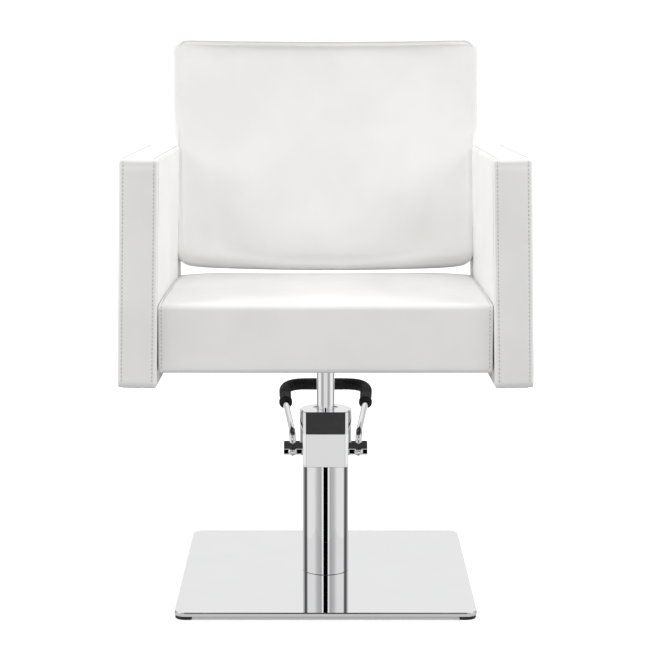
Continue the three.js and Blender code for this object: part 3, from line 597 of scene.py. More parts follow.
GLAND = filleted([(GLAND_BORE, 266.3, 0), (20, 266.3, 0.3), (20, 284, 0.3), (GLAND_BORE, 284, 0)])
piece("gland_ring", mesh_of("gland_ring", *lathe(GLAND, 96)), "base", "brass", replaces=["rod_gland"])
WIPER = filleted([(GLAND_BORE, 284.3, 0), (20, 284.3, 0.2), (20, 289.6, 0.8), (17.5, 290.2, 0.4),
                  (GLAND_BORE + 0.3, 291.2, 0.2), (GLAND_BORE, 288.8, 0)])
piece("wiper_lip", mesh_of("wiper_lip", *lathe(WIPER, 96)), "base", "seal", replaces=["rod_wiper"])

ROD = filleted([(0, ROD_LOW, 0), (ROD_RADIUS, ROD_LOW, 0.8), (ROD_RADIUS, ROD_TOP, 0.8), (0, ROD_TOP, 0)])
piece("lift_rod", mesh_of("lift_rod", *lathe(ROD, 96)), "chair", "chrome", replaces=["piston_rod"])

HUB = filleted([
    (15.4, -15, 0.2), (22, -15, 1.5), (25, -6, 3), (34, -2, 1.2), (34, 10, 0.4), (15.4, 10, 0),
])
hub = moved(lathe(HUB, 96), Matrix.Translation((0, 270, 0)))
piece("hub_socket", mesh_of("hub_socket", *hub, matrix=SHELL), "chair", "chrome", replaces=["mounting_hub"])

# ---------------------------------------------------------------- pedal


def bezier(start, middle, end, count):
    steps = [k / count for k in range(1, count + 1)]
    return [start * (1 - t) ** 2 + middle * 2 * t * (1 - t) + end * t ** 2 for t in steps]


def straight(start, end, step=1.5):
    count = max(1, round((end - start).length / step))
    return [start.lerp(end, k / count) for k in range(1, count + 1)]


def half_loop():
    """The pedal's right half from the middle of its rear bar to the leg's foot, and where the grip ends."""
    start, corner = Vector((69, 107, 277)), Vector((73, 200, 292))
    into = corner + (start - corner).normalized() * 38
    out = Vector((35, 200, 292))
    bend_high, bend, bend_low = Vector((56, -18, 257)), Vector((55, -30, 255)), Vector((55, -30, 243))
    points = [Vector((0, 200, 292))] + straight(Vector((0, 200, 292)), out) + bezier(out, corner, into, 36)
    points += straight(into, start)
    grip_end = len(points)
    points += straight(start, bend_high, 3) + bezier(bend_high, bend, bend_low, 8)
    points += straight(bend_low, Vector((55, -30, 224)), 2)
    return points, grip_end


right_half, grip_end = half_loop()
mirrored = [Vector((-p.x, p.y, p.z)) for p in reversed(right_half[1:])]
loop_path = mirrored + right_half
grip_path = loop_path[len(right_half) - grip_end:len(mirrored) + grip_end]


def rod_radius(i, angle):
    """Round, but pressed flat in front and behind where the legs enter their bars."""
    squeeze = max(0.0, min(1.0, (250 - loop_path[i].z) / 8))
    return PEDAL_ROD_RADIUS * (1 - 0.16 * squeeze * abs(math.cos(angle)) ** 3)


piece("pedal_rod", mesh_of("pedal_rod", *tube(loop_path, rod_radius, 32)), "pedal", "chrome", replaces=["pedal_loop"])


def grip_radius(i, angle):
    """Lengthwise ribs on the rear bar, cross-cut into studs round the corners, and a collar at each end."""
    from_end = min(i, len(grip_path) - 1 - i)
    x = abs(grip_path[i].x)
    rib = 0.55 * math.cos(14 * angle)
    if x > 33:
        rib = 0.55 * (1 if math.cos(14 * angle) > -0.1 else -1) * (1 if i % 6 < 4 else -1) - 0.1
    if from_end < 6:
        rib = 1.6 if from_end > 1 else 0.9
    elif from_end < 8:
        rib = -0.4
    elif grip_path[i].y < 140:
        rib *= 0.4
    if from_end == 0:
        return GRIP_RADIUS - 0.4
    return GRIP_RADIUS - 0.6 + rib


grip_points, grip_faces = tube(grip_path, grip_radius, 112)
piece("rubber_grip", mesh_of("rubber_grip", grip_points, grip_faces, sharp=50), "pedal", "black_rubber",
      replaces=["pedal_grip"])

BAR_SECTION = filleted([(-40, 220, 2.5), (-20, 220, 2), (-20, 240, 2), (-33.5, 240, 1), (-40, 230.5, 1)], 4)
LIP_SECTION = filleted([(-40, 220, 2.5), (BAR_NOTCH_Y, 220, 0.5), (BAR_NOTCH_Y, 240, 0.5), (-33.5, 240, 1),
                        (-40, 230.5, 1)], 4)


def bar(section, start, end, ease=0.8):
    """A bar along X with the section's (y, z) outline and eased ends."""
    middle_y = sum(y for y, z in section) / len(section)
    middle_z = sum(z for y, z in section) / len(section)

    def ring(x, inset):
        shrink = 1 - inset / 10
        return [(x, middle_y + (y - middle_y) * shrink, middle_z + (z - middle_z) * shrink) for y, z in section]

    inward = math.copysign(ease, end - start)
    return stacked([ring(start, ease), ring(start + inward, 0), ring(end - inward, 0), ring(end, ease)])


for word, side in SIDES.items():
    parts = [bar(BAR_SECTION, side * BAR_NOTCH, side * BAR_END), bar(LIP_SECTION, side * BAR_START, side * 43)]
    name = f"pedal_bar_{word}"
    piece(f"{name}_block", mesh_of(name, *combined(parts), sharp=24), "pedal", "chrome", replaces=[name])
    dome = filleted([(0, 1.6, 0), (2.8, 1.6, 0.2), (2.8, 4.6, 0.4), (4.8, 4, 2.5), (7, 1.2, 0.8), (7, 0, 0.3),
                     (0, 0, 0)])
    screw = lathe(dome, 60)
    turned = Matrix.Translation((side * LEG_X, SHAFT_Y - 10.2, SHAFT_Z - 4.5)) @ Matrix.Rotation(math.pi / 2, 4, "X")
    name = f"clamp_screw_{word}"
    piece(f"{name}_head", mesh_of(name, *moved(screw, turned)), "pedal", "chrome", replaces=[name])

# ---------------------------------------------------------------- upholstery


class Outline:
    """A four-cornered outline with rounded corners, which can be drawn inset, as loops of equal length."""

    def __init__(self, corners, counts, arc=8):
        self.corners = corners
        self.counts = counts
        self.arc = arc

    def loop(self, inset=0.0):
        """Starts in the middle of the first corner's arc and goes round through the corners in order."""
        arcs = []
        count = len(self.corners)
        for i, (a, b, radius) in enumerate(self.corners):
            corner = Vector((a, b))
            before = (Vector(self.corners[i - 1][:2]) - corner).normalized()
            after = (Vector(self.corners[(i + 1) % count][:2]) - corner).normalized()
            half = before.angle(after) / 2
            centre = corner + (before + after).normalized() * radius / math.sin(half)
            shrink = (radius - inset) / radius
            start = (corner + before * radius / math.tan(half) - centre) * shrink
            end = (corner + after * radius / math.tan(half) - centre) * shrink
            arcs.append([centre + turned_between(start, end, k / self.arc) for k in range(self.arc + 1)])
        points = []
        for i in range(count):
            here, there = arcs[i], arcs[(i + 1) % count]
            points += here[self.arc // 2:]
            steps = self.counts[i % 2]
            points += [here[-1].lerp(there[0], k / steps) for k in range(1, steps)]
            points += there[:self.arc // 2]
        return points

    def spans(self):
        return [self.arc + self.counts[i % 2] for i in range(2)]


def patch(loop, spans):
    """Coons patch that fills a loop: rows of points, whose border is the loop."""
    wide, deep = spans
    low = loop[:wide + 1]
    right = loop[wide:wide + deep + 1]
    high = list(reversed(loop[wide + deep:2 * wide + deep + 1]))
    left = list(reversed(loop[2 * wide + deep:] + [loop[0]]))

    def shares(*lines):
        totals = [0.0] * len(lines[0])
        for line in lines:
            lengths = [0.0]
            for p, q in zip(line, line[1:]):
                lengths.append(lengths[-1] + (q - p).length)
            totals = [t + length / lengths[-1] / len(lines) for t, length in zip(totals, lengths)]
        return totals

    us, vs = shares(low, high), shares(left, right)
    rows = []
    for j, v in enumerate(vs):
        row = []
        for i, u in enumerate(us):
            ruled = low[i] * (1 - v) + high[i] * v + left[j] * (1 - u) + right[j] * u
            corners = (low[0] * (1 - u) + low[-1] * u) * (1 - v) + (high[0] * (1 - u) + high[-1] * u) * v
            row.append(ruled - corners)
        rows.append(row)
    return rows


def border(spans):
    """Row and column of each loop point in its patch."""
    wide, deep = spans
    cells = [(0, i) for i in range(wide)] + [(j, wide) for j in range(deep)]
    return cells + [(deep, i) for i in range(wide, 0, -1)] + [(j, 0) for j in range(deep, 0, -1)]


def pad(outline, thick, edge, wall, steps=4):
    """Closed pad: two filled faces across w = 0 and w = thick, rounded rims and a wall with rings at the given w.

    Points come as (u, v, w)."""
    points, faces = [], []
    spans = outline.spans()
    cells = border(spans)

    def filled(w):
        rows = patch(outline.loop(edge), spans)
        start = len(points)
        points.extend((*p, w) for row in rows for p in row)
        width = len(rows[0])
        for j in range(len(rows) - 1):
            for i in range(width - 1):
                at = start + j * width + i
                faces.append((at, at + 1, at + width + 1, at + width))
        return [start + j * width + i for j, i in cells]

    def ring(inset, w):
        start = len(points)
        loop = outline.loop(inset)
        points.extend((*p, w) for p in loop)
        return list(range(start, start + len(loop)))

    arcs = [math.pi / 2 * k / steps for k in range(1, steps + 1)]
    rings = [filled(0.0)]
    rings += [ring(edge * (1 - math.sin(a)), edge * (1 - math.cos(a))) for a in arcs]
    rings += [ring(0.0, w) for w in wall]
    rings += [ring(edge * (1 - math.sin(a)), thick - edge * (1 - math.cos(a))) for a in reversed(arcs)]
    rings.append(filled(thick))
    for low, high in zip(rings, rings[1:]):
        for k in range(len(low)):
            n = (k + 1) % len(low)
            faces.append((low[k], low[n], high[n], high[k]))
    return points, faces


def between(low, high, step):
    count = max(1, round((high - low) / step))
    return [low + (high - low) * k / count for k in range(1, count)]


def subdivided(points, faces):
    """One Catmull-Clark step."""
    mesh = bpy.data.meshes.new("plain")
    mesh.from_pydata(points, [], faces)
    obj = bpy.data.objects.new("plain", mesh)
    scene.collection.objects.link(obj)
    modifier = obj.modifiers.new("finer", "SUBSURF")
    modifier.levels = 1
    bpy.context.view_layer.update()
    finer = bpy.data.meshes.new_from_object(obj.evaluated_get(bpy.context.evaluated_depsgraph_get()))
    bpy.data.objects.remove(obj)
    return [v.co.copy() for v in finer.vertices], [tuple(p.vertices) for p in finer.polygons]


def inflated(points, faces, pinned, cap, pressure=4.0, frames=20):
    """The pad after its cover is blown up as cloth; pinned(p) is how firmly a point is held, from 0 to 1."""
    mesh = bpy.data.meshes.new("cover")
    mesh.from_pydata([Vector(p) * MM for p in points], [], faces)
    obj = bpy.data.objects.new("cover", mesh)
    scene.collection.objects.link(obj)
    held = obj.vertex_groups.new(name="held")
    for i, p in enumerate(points):
        weight = pinned(p)
        if weight > 0:
            held.add([i], weight, "REPLACE")
    cloth = obj.modifiers.new("cloth", "CLOTH")
    settings = cloth.settings
    settings.quality = 5
    settings.use_pressure = True
    settings.uniform_pressure_force = pressure
    settings.effector_weights.gravity = 0
    settings.vertex_group_mass = "held"
    settings.tension_stiffness = 25
    settings.compression_stiffness = 25
    settings.bending_stiffness = 2
    cloth.point_cache.frame_start, cloth.point_cache.frame_end = 1, frames
    for number in range(1, frames + 1):
        scene.frame_set(number)
    evaluated = obj.evaluated_get(bpy.context.evaluated_depsgraph_get())
    blown = [v.co / MM for v in evaluated.data.vertices]
    bpy.data.objects.remove(obj)
    scene.frame_set(1)
    neighbours = [[] for _ in points]
    for face in faces:
        for k, v in enumerate(face):
            neighbours[v].append(face[k - 1])
    shifts = [b - Vector(p) for b, p in zip(blown, points)]
    for _ in range(2):
        shifts = [sum((shifts[n] for n in near), s) / (len(near) + 1) for s, near in zip(shifts, neighbours)]
    return [Vector(p) + s * min(1.0, cap / max(s.length, 1e-6)) for p, s in zip(points, shifts)]


def normals_of(points, faces):
    normals = [Vector() for _ in points]
    for face in faces:
        a, b, c, d = (Vector(points[i]) for i in face)
        normal = (c - a).cross(d - b)
        for i in face:
            normals[i] += normal
    return [n.normalized() for n in normals]


class Cushion:
    """A padded piece in its own (u, v, w) frame: the pad, its blown-up cover, and seams laid on it."""

    def __init__(self, body, pinned, cap, mapped, press=0.0):
        points, faces = body
        blown = inflated(points, faces, pinned, cap)
        self.rest, self.faces = subdivided(points, faces)
        self.now, _ = subdivided(blown, faces)
        normals = normals_of(self.rest, self.faces)
        middle = sum(self.rest, Vector()) / len(self.rest)
        outward = sum(n.dot(p - middle) for n, p in zip(normals, self.rest))
        self.flip = 1 if outward > 0 else -1
        self.mapped = mapped
        self.press = press

    def relief(self, height):
        """Moves each point along its normal by height(p) millimetres, p being its place before the cloth."""
        normals = normals_of(self.now, self.faces)
        self.now = [p + n * self.flip * height(r) for p, n, r in zip(self.now, normals, self.rest)]

    def mesh(self, name, matrix):
        points = [self.mapped(p) for p in self.now]
        return mesh_of(name, points, self.faces, matrix, sharp=60)

    def ready(self):
        self.tree = BVHTree.FromPolygons(self.rest, self.faces)
        self.normals = normals_of(self.now, self.faces)

    def on_surface(self, point):
        """Where a place on the rest shape is now, and the surface's outward normal there."""
        where, _, index, _ = self.tree.find_nearest(point)
        face = self.faces[index]
        weights = [1 / ((self.rest[i] - where).length + 0.05) ** 2 for i in face]
        total = sum(weights)
        shift = sum(((self.now[i] - self.rest[i]) * w for i, w in zip(face, weights)), Vector()) / total
        normal = sum((self.normals[i] * w for i, w in zip(face, weights)), Vector()).normalized() * self.flip
        return where + shift, normal


def walk(points, pitch):
    """Places a pitch apart along a polyline."""
    places = [points[0]]
    spare = 0.0
    for a, b in zip(points, points[1:]):
        length = (b - a).length
        at = pitch - spare
        while at <= length:
            places.append(a.lerp(b, at / length))
            at += pitch
        spare = (spare + length) % pitch
    return places


def stitches(cushion, path, length=4.4, radius=0.5, pitch=STITCH_PITCH):
    """Short threads that dip into the cover at both ends, along a path on the rest shape."""
    shape = [(0.0, 0.35, -0.5), (0.12, 0.9, 0.0), (0.5, 1.0, 0.25), (0.88, 0.9, 0.0), (1.0, 0.35, -0.5)]
    parts = []
    places = walk(path, pitch)
    for here, there in zip(places, places[1:]):
        start, normal = cushion.on_surface(here)
        end, _ = cushion.on_surface(here.lerp(there, length / pitch))
        along = (end - start).normalized()
        across = along.cross(normal).normalized()
        loops = []
        for share, width, lift in shape:
            centre = start.lerp(end, share) + normal * lift
            loops.append([
                centre + (across * math.cos(a) + normal * math.sin(a)) * radius * width
                for a in (math.pi / 3 * k for k in range(6))
            ])
        parts.append(stacked([[tuple(p) for p in loop] for loop in loops]))
    points, faces = combined(parts)
    return [cushion.mapped(Vector(p)) for p in points], faces


def welt(cushion, path, radius=1.2, sink=0.4):
    """A thin cord of covered piping that lies along a path on the rest shape."""
    line = []
    for place in walk(path, 2.5):
        where, normal = cushion.on_surface(place)
        line.append(cushion.mapped(where + normal * (radius - sink)))
    return tube(line, lambda i, angle: radius, 10)


def bell(distance, width):
    return math.exp(-(distance / width) ** 2)


def unevenness(p, seed, size=90.0, height=0.35):
    return height * noise.noise(Vector(p) / size + Vector((seed, 0, 0)))


def pucker(p, seed, distance, height=0.5, reach=9.0):
    """Small gathers that fade away from a seam."""
    return height * noise.noise(Vector(p) / 11.0 + Vector((0, seed, 0))) * math.exp(-distance / reach)


# Seat: u runs back, v up, w across from the left
SEAT_OUTLINE = Outline([(11, 17.2, 8), (477, 17.2, 8), (477, 121, 22), (11, 124.5, 9)], [44, 9])
SEAT_SEAM = 4.8
SEAT_CROWN = 3.0
seat_width = 2 * SEAT_HALF


def seat_crown(u, v):
    """The top rises a little towards the middle, and none of the rest does."""
    if v < 100:
        return v
    share = (v - 100) / 25
    return v + share * SEAT_CROWN * max(0.0, 1 - ((u - 244) / 233) ** 2) ** 0.8


seat_wall = [SEAT_SEAM, SEAT_SEAM + 2.5, SEAT_SEAM + 7]
seat_wall += between(SEAT_SEAM + 7, seat_width - SEAT_SEAM - 7, 9.5)
seat_wall += [seat_width - SEAT_SEAM - 7, seat_width - SEAT_SEAM - 2.5, seat_width - SEAT_SEAM]
seat_points, seat_faces = pad(SEAT_OUTLINE, seat_width, 4.5, seat_wall)
seat_points = [(u, seat_crown(u, v), w) for u, v, w in seat_points]


def seat_held(p):
    u, v, w = p
    if v < 26 or w < 1 or w > seat_width - 1 or (u < 21 and v > 114):
        return 1.0
    if u < 13:
        return 0.8
    return 1.0 if min(abs(w - SEAT_SEAM), abs(w - seat_width + SEAT_SEAM)) < 0.5 else 0.0


def seat_place(p):
    return (p[2] - SEAT_HALF, p[0], p[1])


def seat_relief(p):
    u, v, w = p
    seam = min(abs(w - SEAT_SEAM), abs(w - seat_width + SEAT_SEAM))
    if v < 40:
        return unevenness(p, 1.0) * 0.3
    rim = min(w, seat_width - w)
    side = -0.6 * bell(seam, 1.8) if rim > 0.5 else 0.0
    return side + unevenness(p, 1.0) + pucker(p, 2.0, seam, 0.35)


seat = Cushion((seat_points, seat_faces), seat_held, 5.0, seat_place)
seat.relief(seat_relief)
seat.ready()
seat_piece = piece("seat_cushion", seat.mesh("seat_cushion", SHELL), "chair", "leatherette",
                   replaces=["seat_cover", "seat_foam"])


def seat_row(w):
    outline = SEAT_OUTLINE.loop(0.0)
    ordered = sorted((p for p in outline if p.x < 60 and p.y > 24), key=lambda p: math.atan2(p.y - 60, p.x - 60))
    front = [p for p in outline if p.x < 12 and 24 < p.y < 112]
    front.sort(key=lambda p: p.y)
    turn = [p for p in ordered if p.y >= 112 and p.x < 26]
    turn.sort(key=lambda p: p.x)
    line = [Vector((p.x, p.y, w)) for p in front + turn]
    return line + [Vector((u, seat_crown(u, 124.6), w)) for u in range(30, 455, 6)]


seams = [stitches(seat, seat_row(SEAT_SEAM + 0.6)), stitches(seat, seat_row(seat_width - SEAT_SEAM - 0.6))]
piece("seat_stitching", mesh_of("seat_stitching", *combined(seams), matrix=SHELL, sharp=80), "chair", "leatherette",
      THREAD_PAINTED_SHADE)

# Arms: u runs back, v up, w outwards from the inner face
ARM_LOW, ARM_TOP = -6, 347.5
ARM_OUTLINE = Outline([(0.5, ARM_LOW, 11), (499, ARM_LOW, 11), (499, ARM_TOP, 24), (0.5, ARM_TOP, 8)], [46, 32])
ARM_SEAM = 6.2
ARM_EDGE = 4.5
arm_thick = ARM_THICK
arm_wall = [ARM_SEAM, ARM_SEAM + 2.5, ARM_SEAM + 6] + between(ARM_SEAM + 6, arm_thick - ARM_SEAM - 6, 5)
arm_wall += [arm_thick - ARM_SEAM - 6, arm_thick - ARM_SEAM - 2.5, arm_thick - ARM_SEAM]
arm_points, arm_faces = pad(ARM_OUTLINE, arm_thick, ARM_EDGE, arm_wall)


def arm_held(p):
    u, v, w = p
    seam = min(abs(w - ARM_SEAM), abs(w - arm_thick + ARM_SEAM))
    rim = 0.5 < min(w, arm_thick - w) < ARM_EDGE
    if seam < 0.5 or rim or v < ARM_LOW + 2:
        return 1.0
    return 0.6 if w < 1 else 0.0


def arm_relief(p):
    u, v, w = p
    seam = min(abs(w - ARM_SEAM), abs(w - arm_thick + ARM_SEAM))
    rim = min(w, arm_thick - w)
    height = unevenness(p, 4.0, 80, 0.3)
    if rim > 2.5:
        height -= 0.55 * bell(seam, 1.6)
        height += pucker(p, 5.0, seam, 0.3)
        if u < 30:
            height -= 0.7 * bell(v - ARM_TOP + 11, 2.6)
            height += 0.35 * bell(v - ARM_TOP + 19, 6)
            height += 0.8 * bell(v - ARM_LOW - 4, 9) * noise.noise(Vector((w / 5, v / 16, 3)))
    else:
        away = min(u, 500 - u, v - ARM_LOW, ARM_TOP + 1 - v)
        height -= 0.5 * bell(away - 5.5, 1.7)
    return height


def arm_row(w):
    loop = ARM_OUTLINE.loop(0.0)
    front = sorted((p for p in loop if p.x < 8 and p.y > ARM_LOW + 9), key=lambda p: p.y)
    top = sorted((p for p in loop if p.y > ARM_TOP - 5 and 8 <= p.x <= 490), key=lambda p: p.x)
    rear = sorted((p for p in loop if p.x > 490 and p.y > ARM_LOW + 9), key=lambda p: -p.y)
    return [Vector((p.x, p.y, w)) for p in front + top + rear]


arm_cushion = None
for word, side in SIDES.items():
    def arm_place(p, side=side):
        return (side * p[2], p[0], p[1])

    if arm_cushion is None:
        arm_cushion = Cushion((arm_points, arm_faces), arm_held, 4.0, arm_place)
        arm_cushion.relief(arm_relief)
        arm_cushion.ready()
    arm_cushion.mapped = arm_place
    arm = piece(f"arm_pad_{word}", arm_cushion.mesh(f"arm_pad_{word}", ARM[side]), "chair", "leatherette",
                replaces=[f"arm_cover_{word}", f"arm_foam_{word}"])
    rows = [stitches(arm_cushion, arm_row(ARM_SEAM + 0.4)), stitches(arm_cushion, arm_row(arm_thick - ARM_SEAM - 0.4))]
    piece(f"arm_stitching_{word}", mesh_of("arm_stitching", *combined(rows), matrix=ARM[side], sharp=80), "chair",
          "leatherette", THREAD_PAINTED_SHADE)

# Back: u runs across, v up, w rearwards from the front face
BACK_OUTLINE = Outline([
    (-BACK_HALF, BACK_BOW, 30), (BACK_HALF, BACK_BOW, 30), (BACK_HALF, BACK_HEIGHT - 1, 18),
    (-BACK_HALF, BACK_HEIGHT - 1, 18),
], [48, 34])
BACK_EDGE = 7.0
BACK_SEAM = 11.0


def bowed(u, v):
    """The lower edge hangs down in the middle; the height above it takes up the difference."""
    drop = BACK_BOW * (1 - abs(u / BACK_HALF) ** 5)
    share = max(0.0, 1 - (v - BACK_BOW) / 170)
    return v - drop * share ** 2


def back_width(u, v):
    """Between the arms the sides follow the arms' lean; above them they swell a little."""
    lower = 3.0 * max(0.0, 1 - v / 200)
    upper = 4.9 * min(1.0, max(0.0, (v - 205) / 40))
    return u * (1 + (1.5 + lower + upper) / BACK_HALF)


def rolled(u, v, w):
    """The front face curls under along its lower edge."""
    depth = max(0.0, min(BACK_ROLL, BACK_ROLL - (v - bowed(u, BACK_BOW))))
    curl = BACK_ROLL - math.sqrt(BACK_ROLL ** 2 - depth ** 2)
    return w + 0.85 * curl * (1 - w / BACK_THICK)


back_wall = [BACK_SEAM, BACK_SEAM + 3] + between(BACK_SEAM + 3, BACK_THICK - 8, 7)
back_points, back_faces = pad(BACK_OUTLINE, BACK_THICK, BACK_EDGE, back_wall)
back_points = [(u, bowed(u, v), w) for u, v, w in back_points]
back_points = [(back_width(u, v), v, rolled(u, v, w)) for u, v, w in back_points]


def back_held(p):
    u, v, w = p
    if w > BACK_THICK - 9 or abs(u) > BACK_HALF - 4:
        return 1.0
    return 1.0 if abs(w - BACK_SEAM) < 0.5 and v > 60 else 0.0


def back_relief(p):
    u, v, w = p
    low = v - bowed(u, BACK_BOW)
    away = min(BACK_HALF - abs(u), BACK_HEIGHT - v, low)
    height = unevenness(p, 8.0, 110, 0.5)
    if w < 5:
        height -= 0.6 * bell(away - 8.5, 2.2) * min(1.0, max(0.0, (low - 20) / 30))
    return height


back = Cushion((back_points, back_faces), back_held, 9.0, lambda p: (p[0], p[2], p[1]))
back.relief(back_relief)
back.ready()
back_piece = piece("back_cushion", back.mesh("back_cushion", BACK), "chair", "leatherette",
                   replaces=["back_cover", "back_foam"])


def back_row(inset, w):
    """Up one side, across the top and down the other, starting and ending above the lower corners."""
    loop = BACK_OUTLINE.loop(inset)
    points = [p for p in loop if p.y > 66]
    points.sort(key=lambda p: math.atan2(p.y - 66, p.x))
    return [Vector((p.x, p.y, w)) for p in points]


piping = welt(back, back_row(2.2, 2.0), 1.1)
piece("back_piping", mesh_of("back_piping", *piping, matrix=BACK), "chair", "leatherette")
row = stitches(back, back_row(0.0, BACK_SEAM + 5))
piece("back_stitching", mesh_of("back_stitching", *row, matrix=BACK, sharp=80), "chair", "leatherette", THREAD_PAINTED_SHADE)

# Rear panel: the same outline, thin, with a soft rounded rim
PANEL_OUTLINE = Outline([(-256.5, 7, 28), (256.5, 7, 28), (256.5, 392, 17), (-256.5, 392, 17)], [48, 34])
panel_points, panel_faces = pad(PANEL_OUTLINE, 10.0, 4.0, [])
panel_points = [(u, bowed(u, v) + 1.5, w) for u, v, w in panel_points]
panel = Cushion(
    (panel_points, panel_faces),
    lambda p: 1.0 if p[2] < 6 or abs(p[0]) > 246 else 0.0,
    3.0,
    lambda p: (p[0], p[2] + BACK_THICK + 0.6, p[1]),
)
panel.relief(lambda p: unevenness(p, 12.0, 100, 0.4))
panel.ready()
panel_piece = piece("back_panel_pad", panel.mesh("back_panel_pad", BACK), "chair", "leatherette",
                    replaces=["back_panel"])
panel_loop = [Vector((p.x, bowed(p.x, p.y) + 1.5, 10.0)) for p in PANEL_OUTLINE.loop(10)]
panel_row = stitches(panel, panel_loop + panel_loop[:1])
piece("back_panel_stitching", mesh_of("panel_stitching", *panel_row, matrix=BACK, sharp=80), "chair", "leatherette",
      THREAD_PAINTED_SHADE)

# ---------------------------------------------------------------- under the seat


def dust_cover():
    """A thin cloth pulled tight, dipping a little between its staples, with the hub's opening left closed."""
    low, columns, rows = 17.0, 44, 42
    points, faces = [], []
    for level in (0.0, 0.5):
        for j in range(rows + 1):
            for i in range(columns + 1):
                x, y = -213 + 426 * i / columns, 33 + 422 * j / rows
                edge = min(213 - abs(x), y - 33, 455 - y)
                sag = 0.35 * math.sin(x / 9) * math.sin(y / 9) * math.exp(-edge / 14)
                points.append((x, y, low + level + sag))
    width = columns + 1
    sheet = width * (rows + 1)
    for j in range(rows):
        for i in range(columns):
            a = j * width + i
            faces.append((a, a + 1, a + width + 1, a + width))
            faces.append(tuple(sheet + v for v in (a, a + width, a + width + 1, a + 1)))
    for i in range(columns):
        for a, b in ((i, i + 1), (rows * width + i, rows * width + i + 1)):
            faces.append((a, b, sheet + b, sheet + a))
    for j in range(rows):
        for a, b in ((j * width, (j + 1) * width), (j * width + columns, (j + 1) * width + columns)):
            faces.append((a, b, sheet + b, sheet + a))
    return points, faces


cloth_piece = piece("under_cloth", mesh_of("under_cloth", *dust_cover(), matrix=SHELL), "chair", "dust_cloth",
                    replaces=["seat_dust_cover"])


def staple(x, y, turn):
    """Wire staple, 10 mm across, pressed into the board."""
    line = [Vector((-5, 0, 1.5)), Vector((-5, 0, -0.2)), Vector((-4.4, 0, -0.7)), Vector((4.4, 0, -0.7)),
            Vector((5, 0, -0.2)), Vector((5, 0, 1.5))]
    turned = Matrix.Translation((x, y, 17.0)) @ Matrix.Rotation(turn, 4, "Z")
    return moved(tube(line, lambda i, angle: 0.4, 6), turned)


staples = [staple(x, y, 0.0) for x in range(-190, 191, 38) for y in (38, 450)]
staples += [staple(x, y, math.pi / 2) for y in range(60, 441, 38) for x in (-208, 208)]
staple_piece = piece("cloth_staples", mesh_of("cloth_staples", *combined(staples), matrix=SHELL), "chair",
                     "machined_steel")


def wood_screw(x, y, z):
    head = filleted([(0, 1.6, 0), (1.4, 1.6, 0), (1.7, 0.4, 0.1), (3.6, 0, 0.3), (4.2, 1.2, 0.4), (4.2, 2.4, 0), (0, 2.4, 0)])
    return shifted(lathe(head, 24), x, y, z)


screws = [wood_screw(side * x, y, 13.3) for side in (LEFT, RIGHT) for y in (90, 185, 295, 390) for x in (234,)]
piece("bracket_screws", mesh_of("bracket_screws", *combined(screws), matrix=SHELL), "chair", "machined_steel")

# ---------------------------------------------------------------- the frame's own pieces

for subpart in frame["record"]["subparts"]:
    for material_slot in frame["nodes"][subpart["node"]].material_slots:
        material_slot.material = FINISHES[subpart["material_slot"]]

# ---------------------------------------------------------------- camera, light and floor

camera = bpy.data.objects.new("camera", bpy.data.cameras.new("camera"))
scene.collection.objects.link(camera)
camera.location = (-0.001, -3.1666, 0.9744)
camera.rotation_euler = (math.radians(90 - 9.71), 0, 0)
camera.data.sensor_width = 36
camera.data.lens = 106.8
scene.camera = camera

floor = bpy.data.objects.new("floor", mesh_of("floor", [(-2e4, -2e4, 0), (2e4, -2e4, 0), (2e4, 2e4, 0), (-2e4, 2e4, 0)],
                                              [(0, 1, 2, 3)]))
scene.collection.objects.link(floor)
paint = Finish("studio floor", 0.9)
paint.colour(paint.noise(3), (0.90, 0.90, 0.90), (0.92, 0.92, 0.92))
paint.shader.inputs["Emission Color"].default_value = (1, 1, 1, 1)
paint.shader.inputs["Emission Strength"].default_value = 0.35
floor.data.materials.append(paint.material)
floor.visible_glossy = False
floor.visible_diffuse = False
floor.location.z = -0.0005


def softbox(name, place, aim, size, watts):
    light = bpy.data.lights.new(name, "AREA")
    light.shape = "RECTANGLE"
    light.size, light.size_y = size
    light.energy = watts
    obj = bpy.data.objects.new(name, light)
    scene.collection.objects.link(obj)
    obj.location = place
    obj.rotation_euler = (Vector(place) - Vector(aim)).to_track_quat("Z", "Y").to_euler()
    obj.visible_glossy = False
    return obj


softbox("top", (0, 0.2, 3.2), (0, 0, 0.5), (3.0, 3.0), 7)
softbox("left", (-2.4, -0.7, 2.4), (0, -0.1, 0.6), (1.6, 1.6), 36)
softbox("right", (2.4, -0.7, 2.4), (0, -0.1, 0.6), (1.6, 1.6), 36)


FLOOR_BOUNCE = 0.62
SKY = [(-180, 0.86), (-120, 1.05), (-80, 1.17), (-35, 0.74), (35, 0.74), (80, 1.17), (120, 1.05), (180, 0.86)]


# Studio panels round the chair, as degrees from straight ahead and brightness, alike on both sides:
# a dark gap, a strip light, a grey wall that grows paler, and a dark flag.
COLUMN_PANELS = [(10, 0.0), (12, 0.9), (18, 0.9), (20, 0.4), (40, 0.5), (60, 0.8), (100, 0.8), (110, 0.1),
                 (130, 0.1), (140, 0.6), (160, 0.6)]
# Higher up the gap is closed by a pale panel.
HEAD_PANELS = [(20, 0.75), (30, 0.4), (50, 0.4), (70, 0.9), (100, 0.9), (120, 0.3), (140, 0.3), (160, 1.0)]


def surround(panels, backdrop):
    """The panels on both sides, with the backdrop behind the chair."""
    half = panels + [(164, backdrop), (180, backdrop)]
    return [(-angle, value) for angle, value in reversed(half)] + half


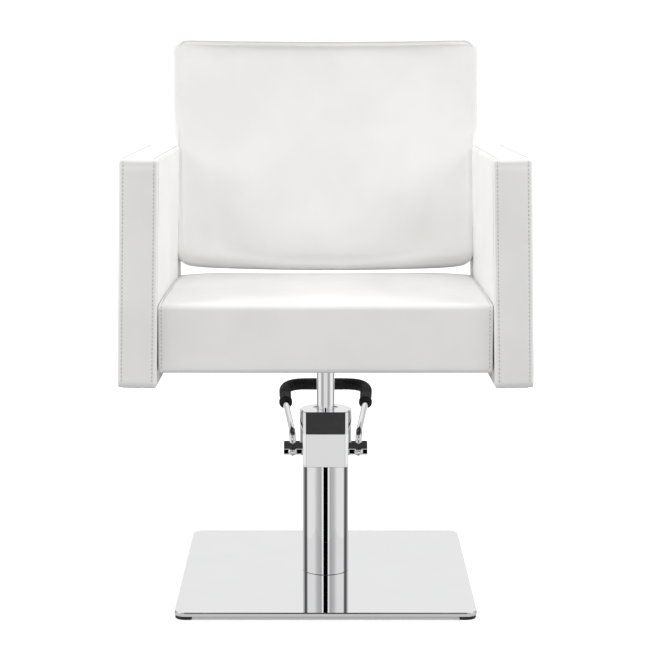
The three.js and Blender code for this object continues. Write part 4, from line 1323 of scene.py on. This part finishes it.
def studio():
    """White surroundings, whose panels give the metal its stripes."""
    world = bpy.data.worlds.new("studio")
    world.use_nodes = True
    scene.world = world
    tree = world.node_tree

    def math_node(operation, a, b=None, c=None):
        node = tree.nodes.new("ShaderNodeMath")
        node.operation = operation
        for socket, value in zip(node.inputs, (a, b, c)):
            if value is None:
                continue
            if isinstance(value, (int, float)):
                socket.default_value = value
            else:
                tree.links.new(value, socket)
        return node.outputs[0]

    def ramp(source, stops):
        node = tree.nodes.new("ShaderNodeValToRGB")
        elements = node.color_ramp.elements
        while len(elements) < len(stops):
            elements.new(0.5)
        for element, (angle, value) in zip(elements, stops):
            element.position = (angle + 180) / 360
            element.color = (value, value, value, 1)
        tree.links.new(source, node.inputs["Fac"])
        return node.outputs["Color"]

    def mixed(share, a, b):
        node = tree.nodes.new("ShaderNodeMix")
        node.data_type = "RGBA"
        tree.links.new(share, node.inputs["Factor"])
        tree.links.new(a, node.inputs["A"])
        tree.links.new(b, node.inputs["B"])
        return node.outputs["Result"]

    def step(value, low, high):
        node = tree.nodes.new("ShaderNodeMapRange")
        node.interpolation_type = "SMOOTHSTEP"
        node.inputs["From Min"].default_value = low
        node.inputs["From Max"].default_value = high
        tree.links.new(value, node.inputs["Value"])
        return node.outputs["Result"]

    place = tree.nodes.new("ShaderNodeTexCoord").outputs["Generated"]
    split = tree.nodes.new("ShaderNodeSeparateXYZ")
    tree.links.new(place, split.inputs[0])
    x, y, z = split.outputs
    azimuth = math_node("ARCTAN2", x, math_node("MULTIPLY", y, -1.0))
    turn = math_node("MULTIPLY_ADD", azimuth, 0.5 / math.pi, 0.5)
    elevation = math_node("MULTIPLY", math_node("ARCSINE", z), 180 / math.pi)

    column_view = ramp(turn, surround(COLUMN_PANELS, 1.05))
    high_view = ramp(turn, surround(COLUMN_PANELS, 0.86))
    head_view = ramp(turn, surround(HEAD_PANELS, 1.05))
    dark = ramp(turn, [(-180, 1.0), (-85, 1.0), (-60, 0.06), (60, 0.06), (85, 1.0), (180, 1.0)])
    rim_view = ramp(turn, [(-180, 0.57), (180, 0.57)])
    lowest = mixed(step(elevation, -17.8, -17.2), rim_view, column_view)
    low = mixed(step(elevation, -13.53, -13.41), lowest, head_view)
    all_round = mixed(step(elevation, -6, 2), low, high_view)
    in_band = math_node("MULTIPLY", step(elevation, 47, 52), step(elevation, 74, 68))
    reflected = mixed(in_band, all_round, dark)
    below = ramp(turn, [(-180, FLOOR_BOUNCE), (180, FLOOR_BOUNCE)])
    lit = mixed(step(elevation, -4, 4), below, ramp(turn, SKY))
    paths = tree.nodes.new("ShaderNodeLightPath").outputs
    white = ramp(turn, [(-180, 1.05), (180, 1.05)])
    seen = mixed(paths["Is Camera Ray"], mixed(paths["Is Diffuse Ray"], reflected, lit), white)
    background = tree.nodes["Background"]
    tree.links.new(seen, background.inputs["Color"])


studio()
scene.view_settings.view_transform = "Standard"
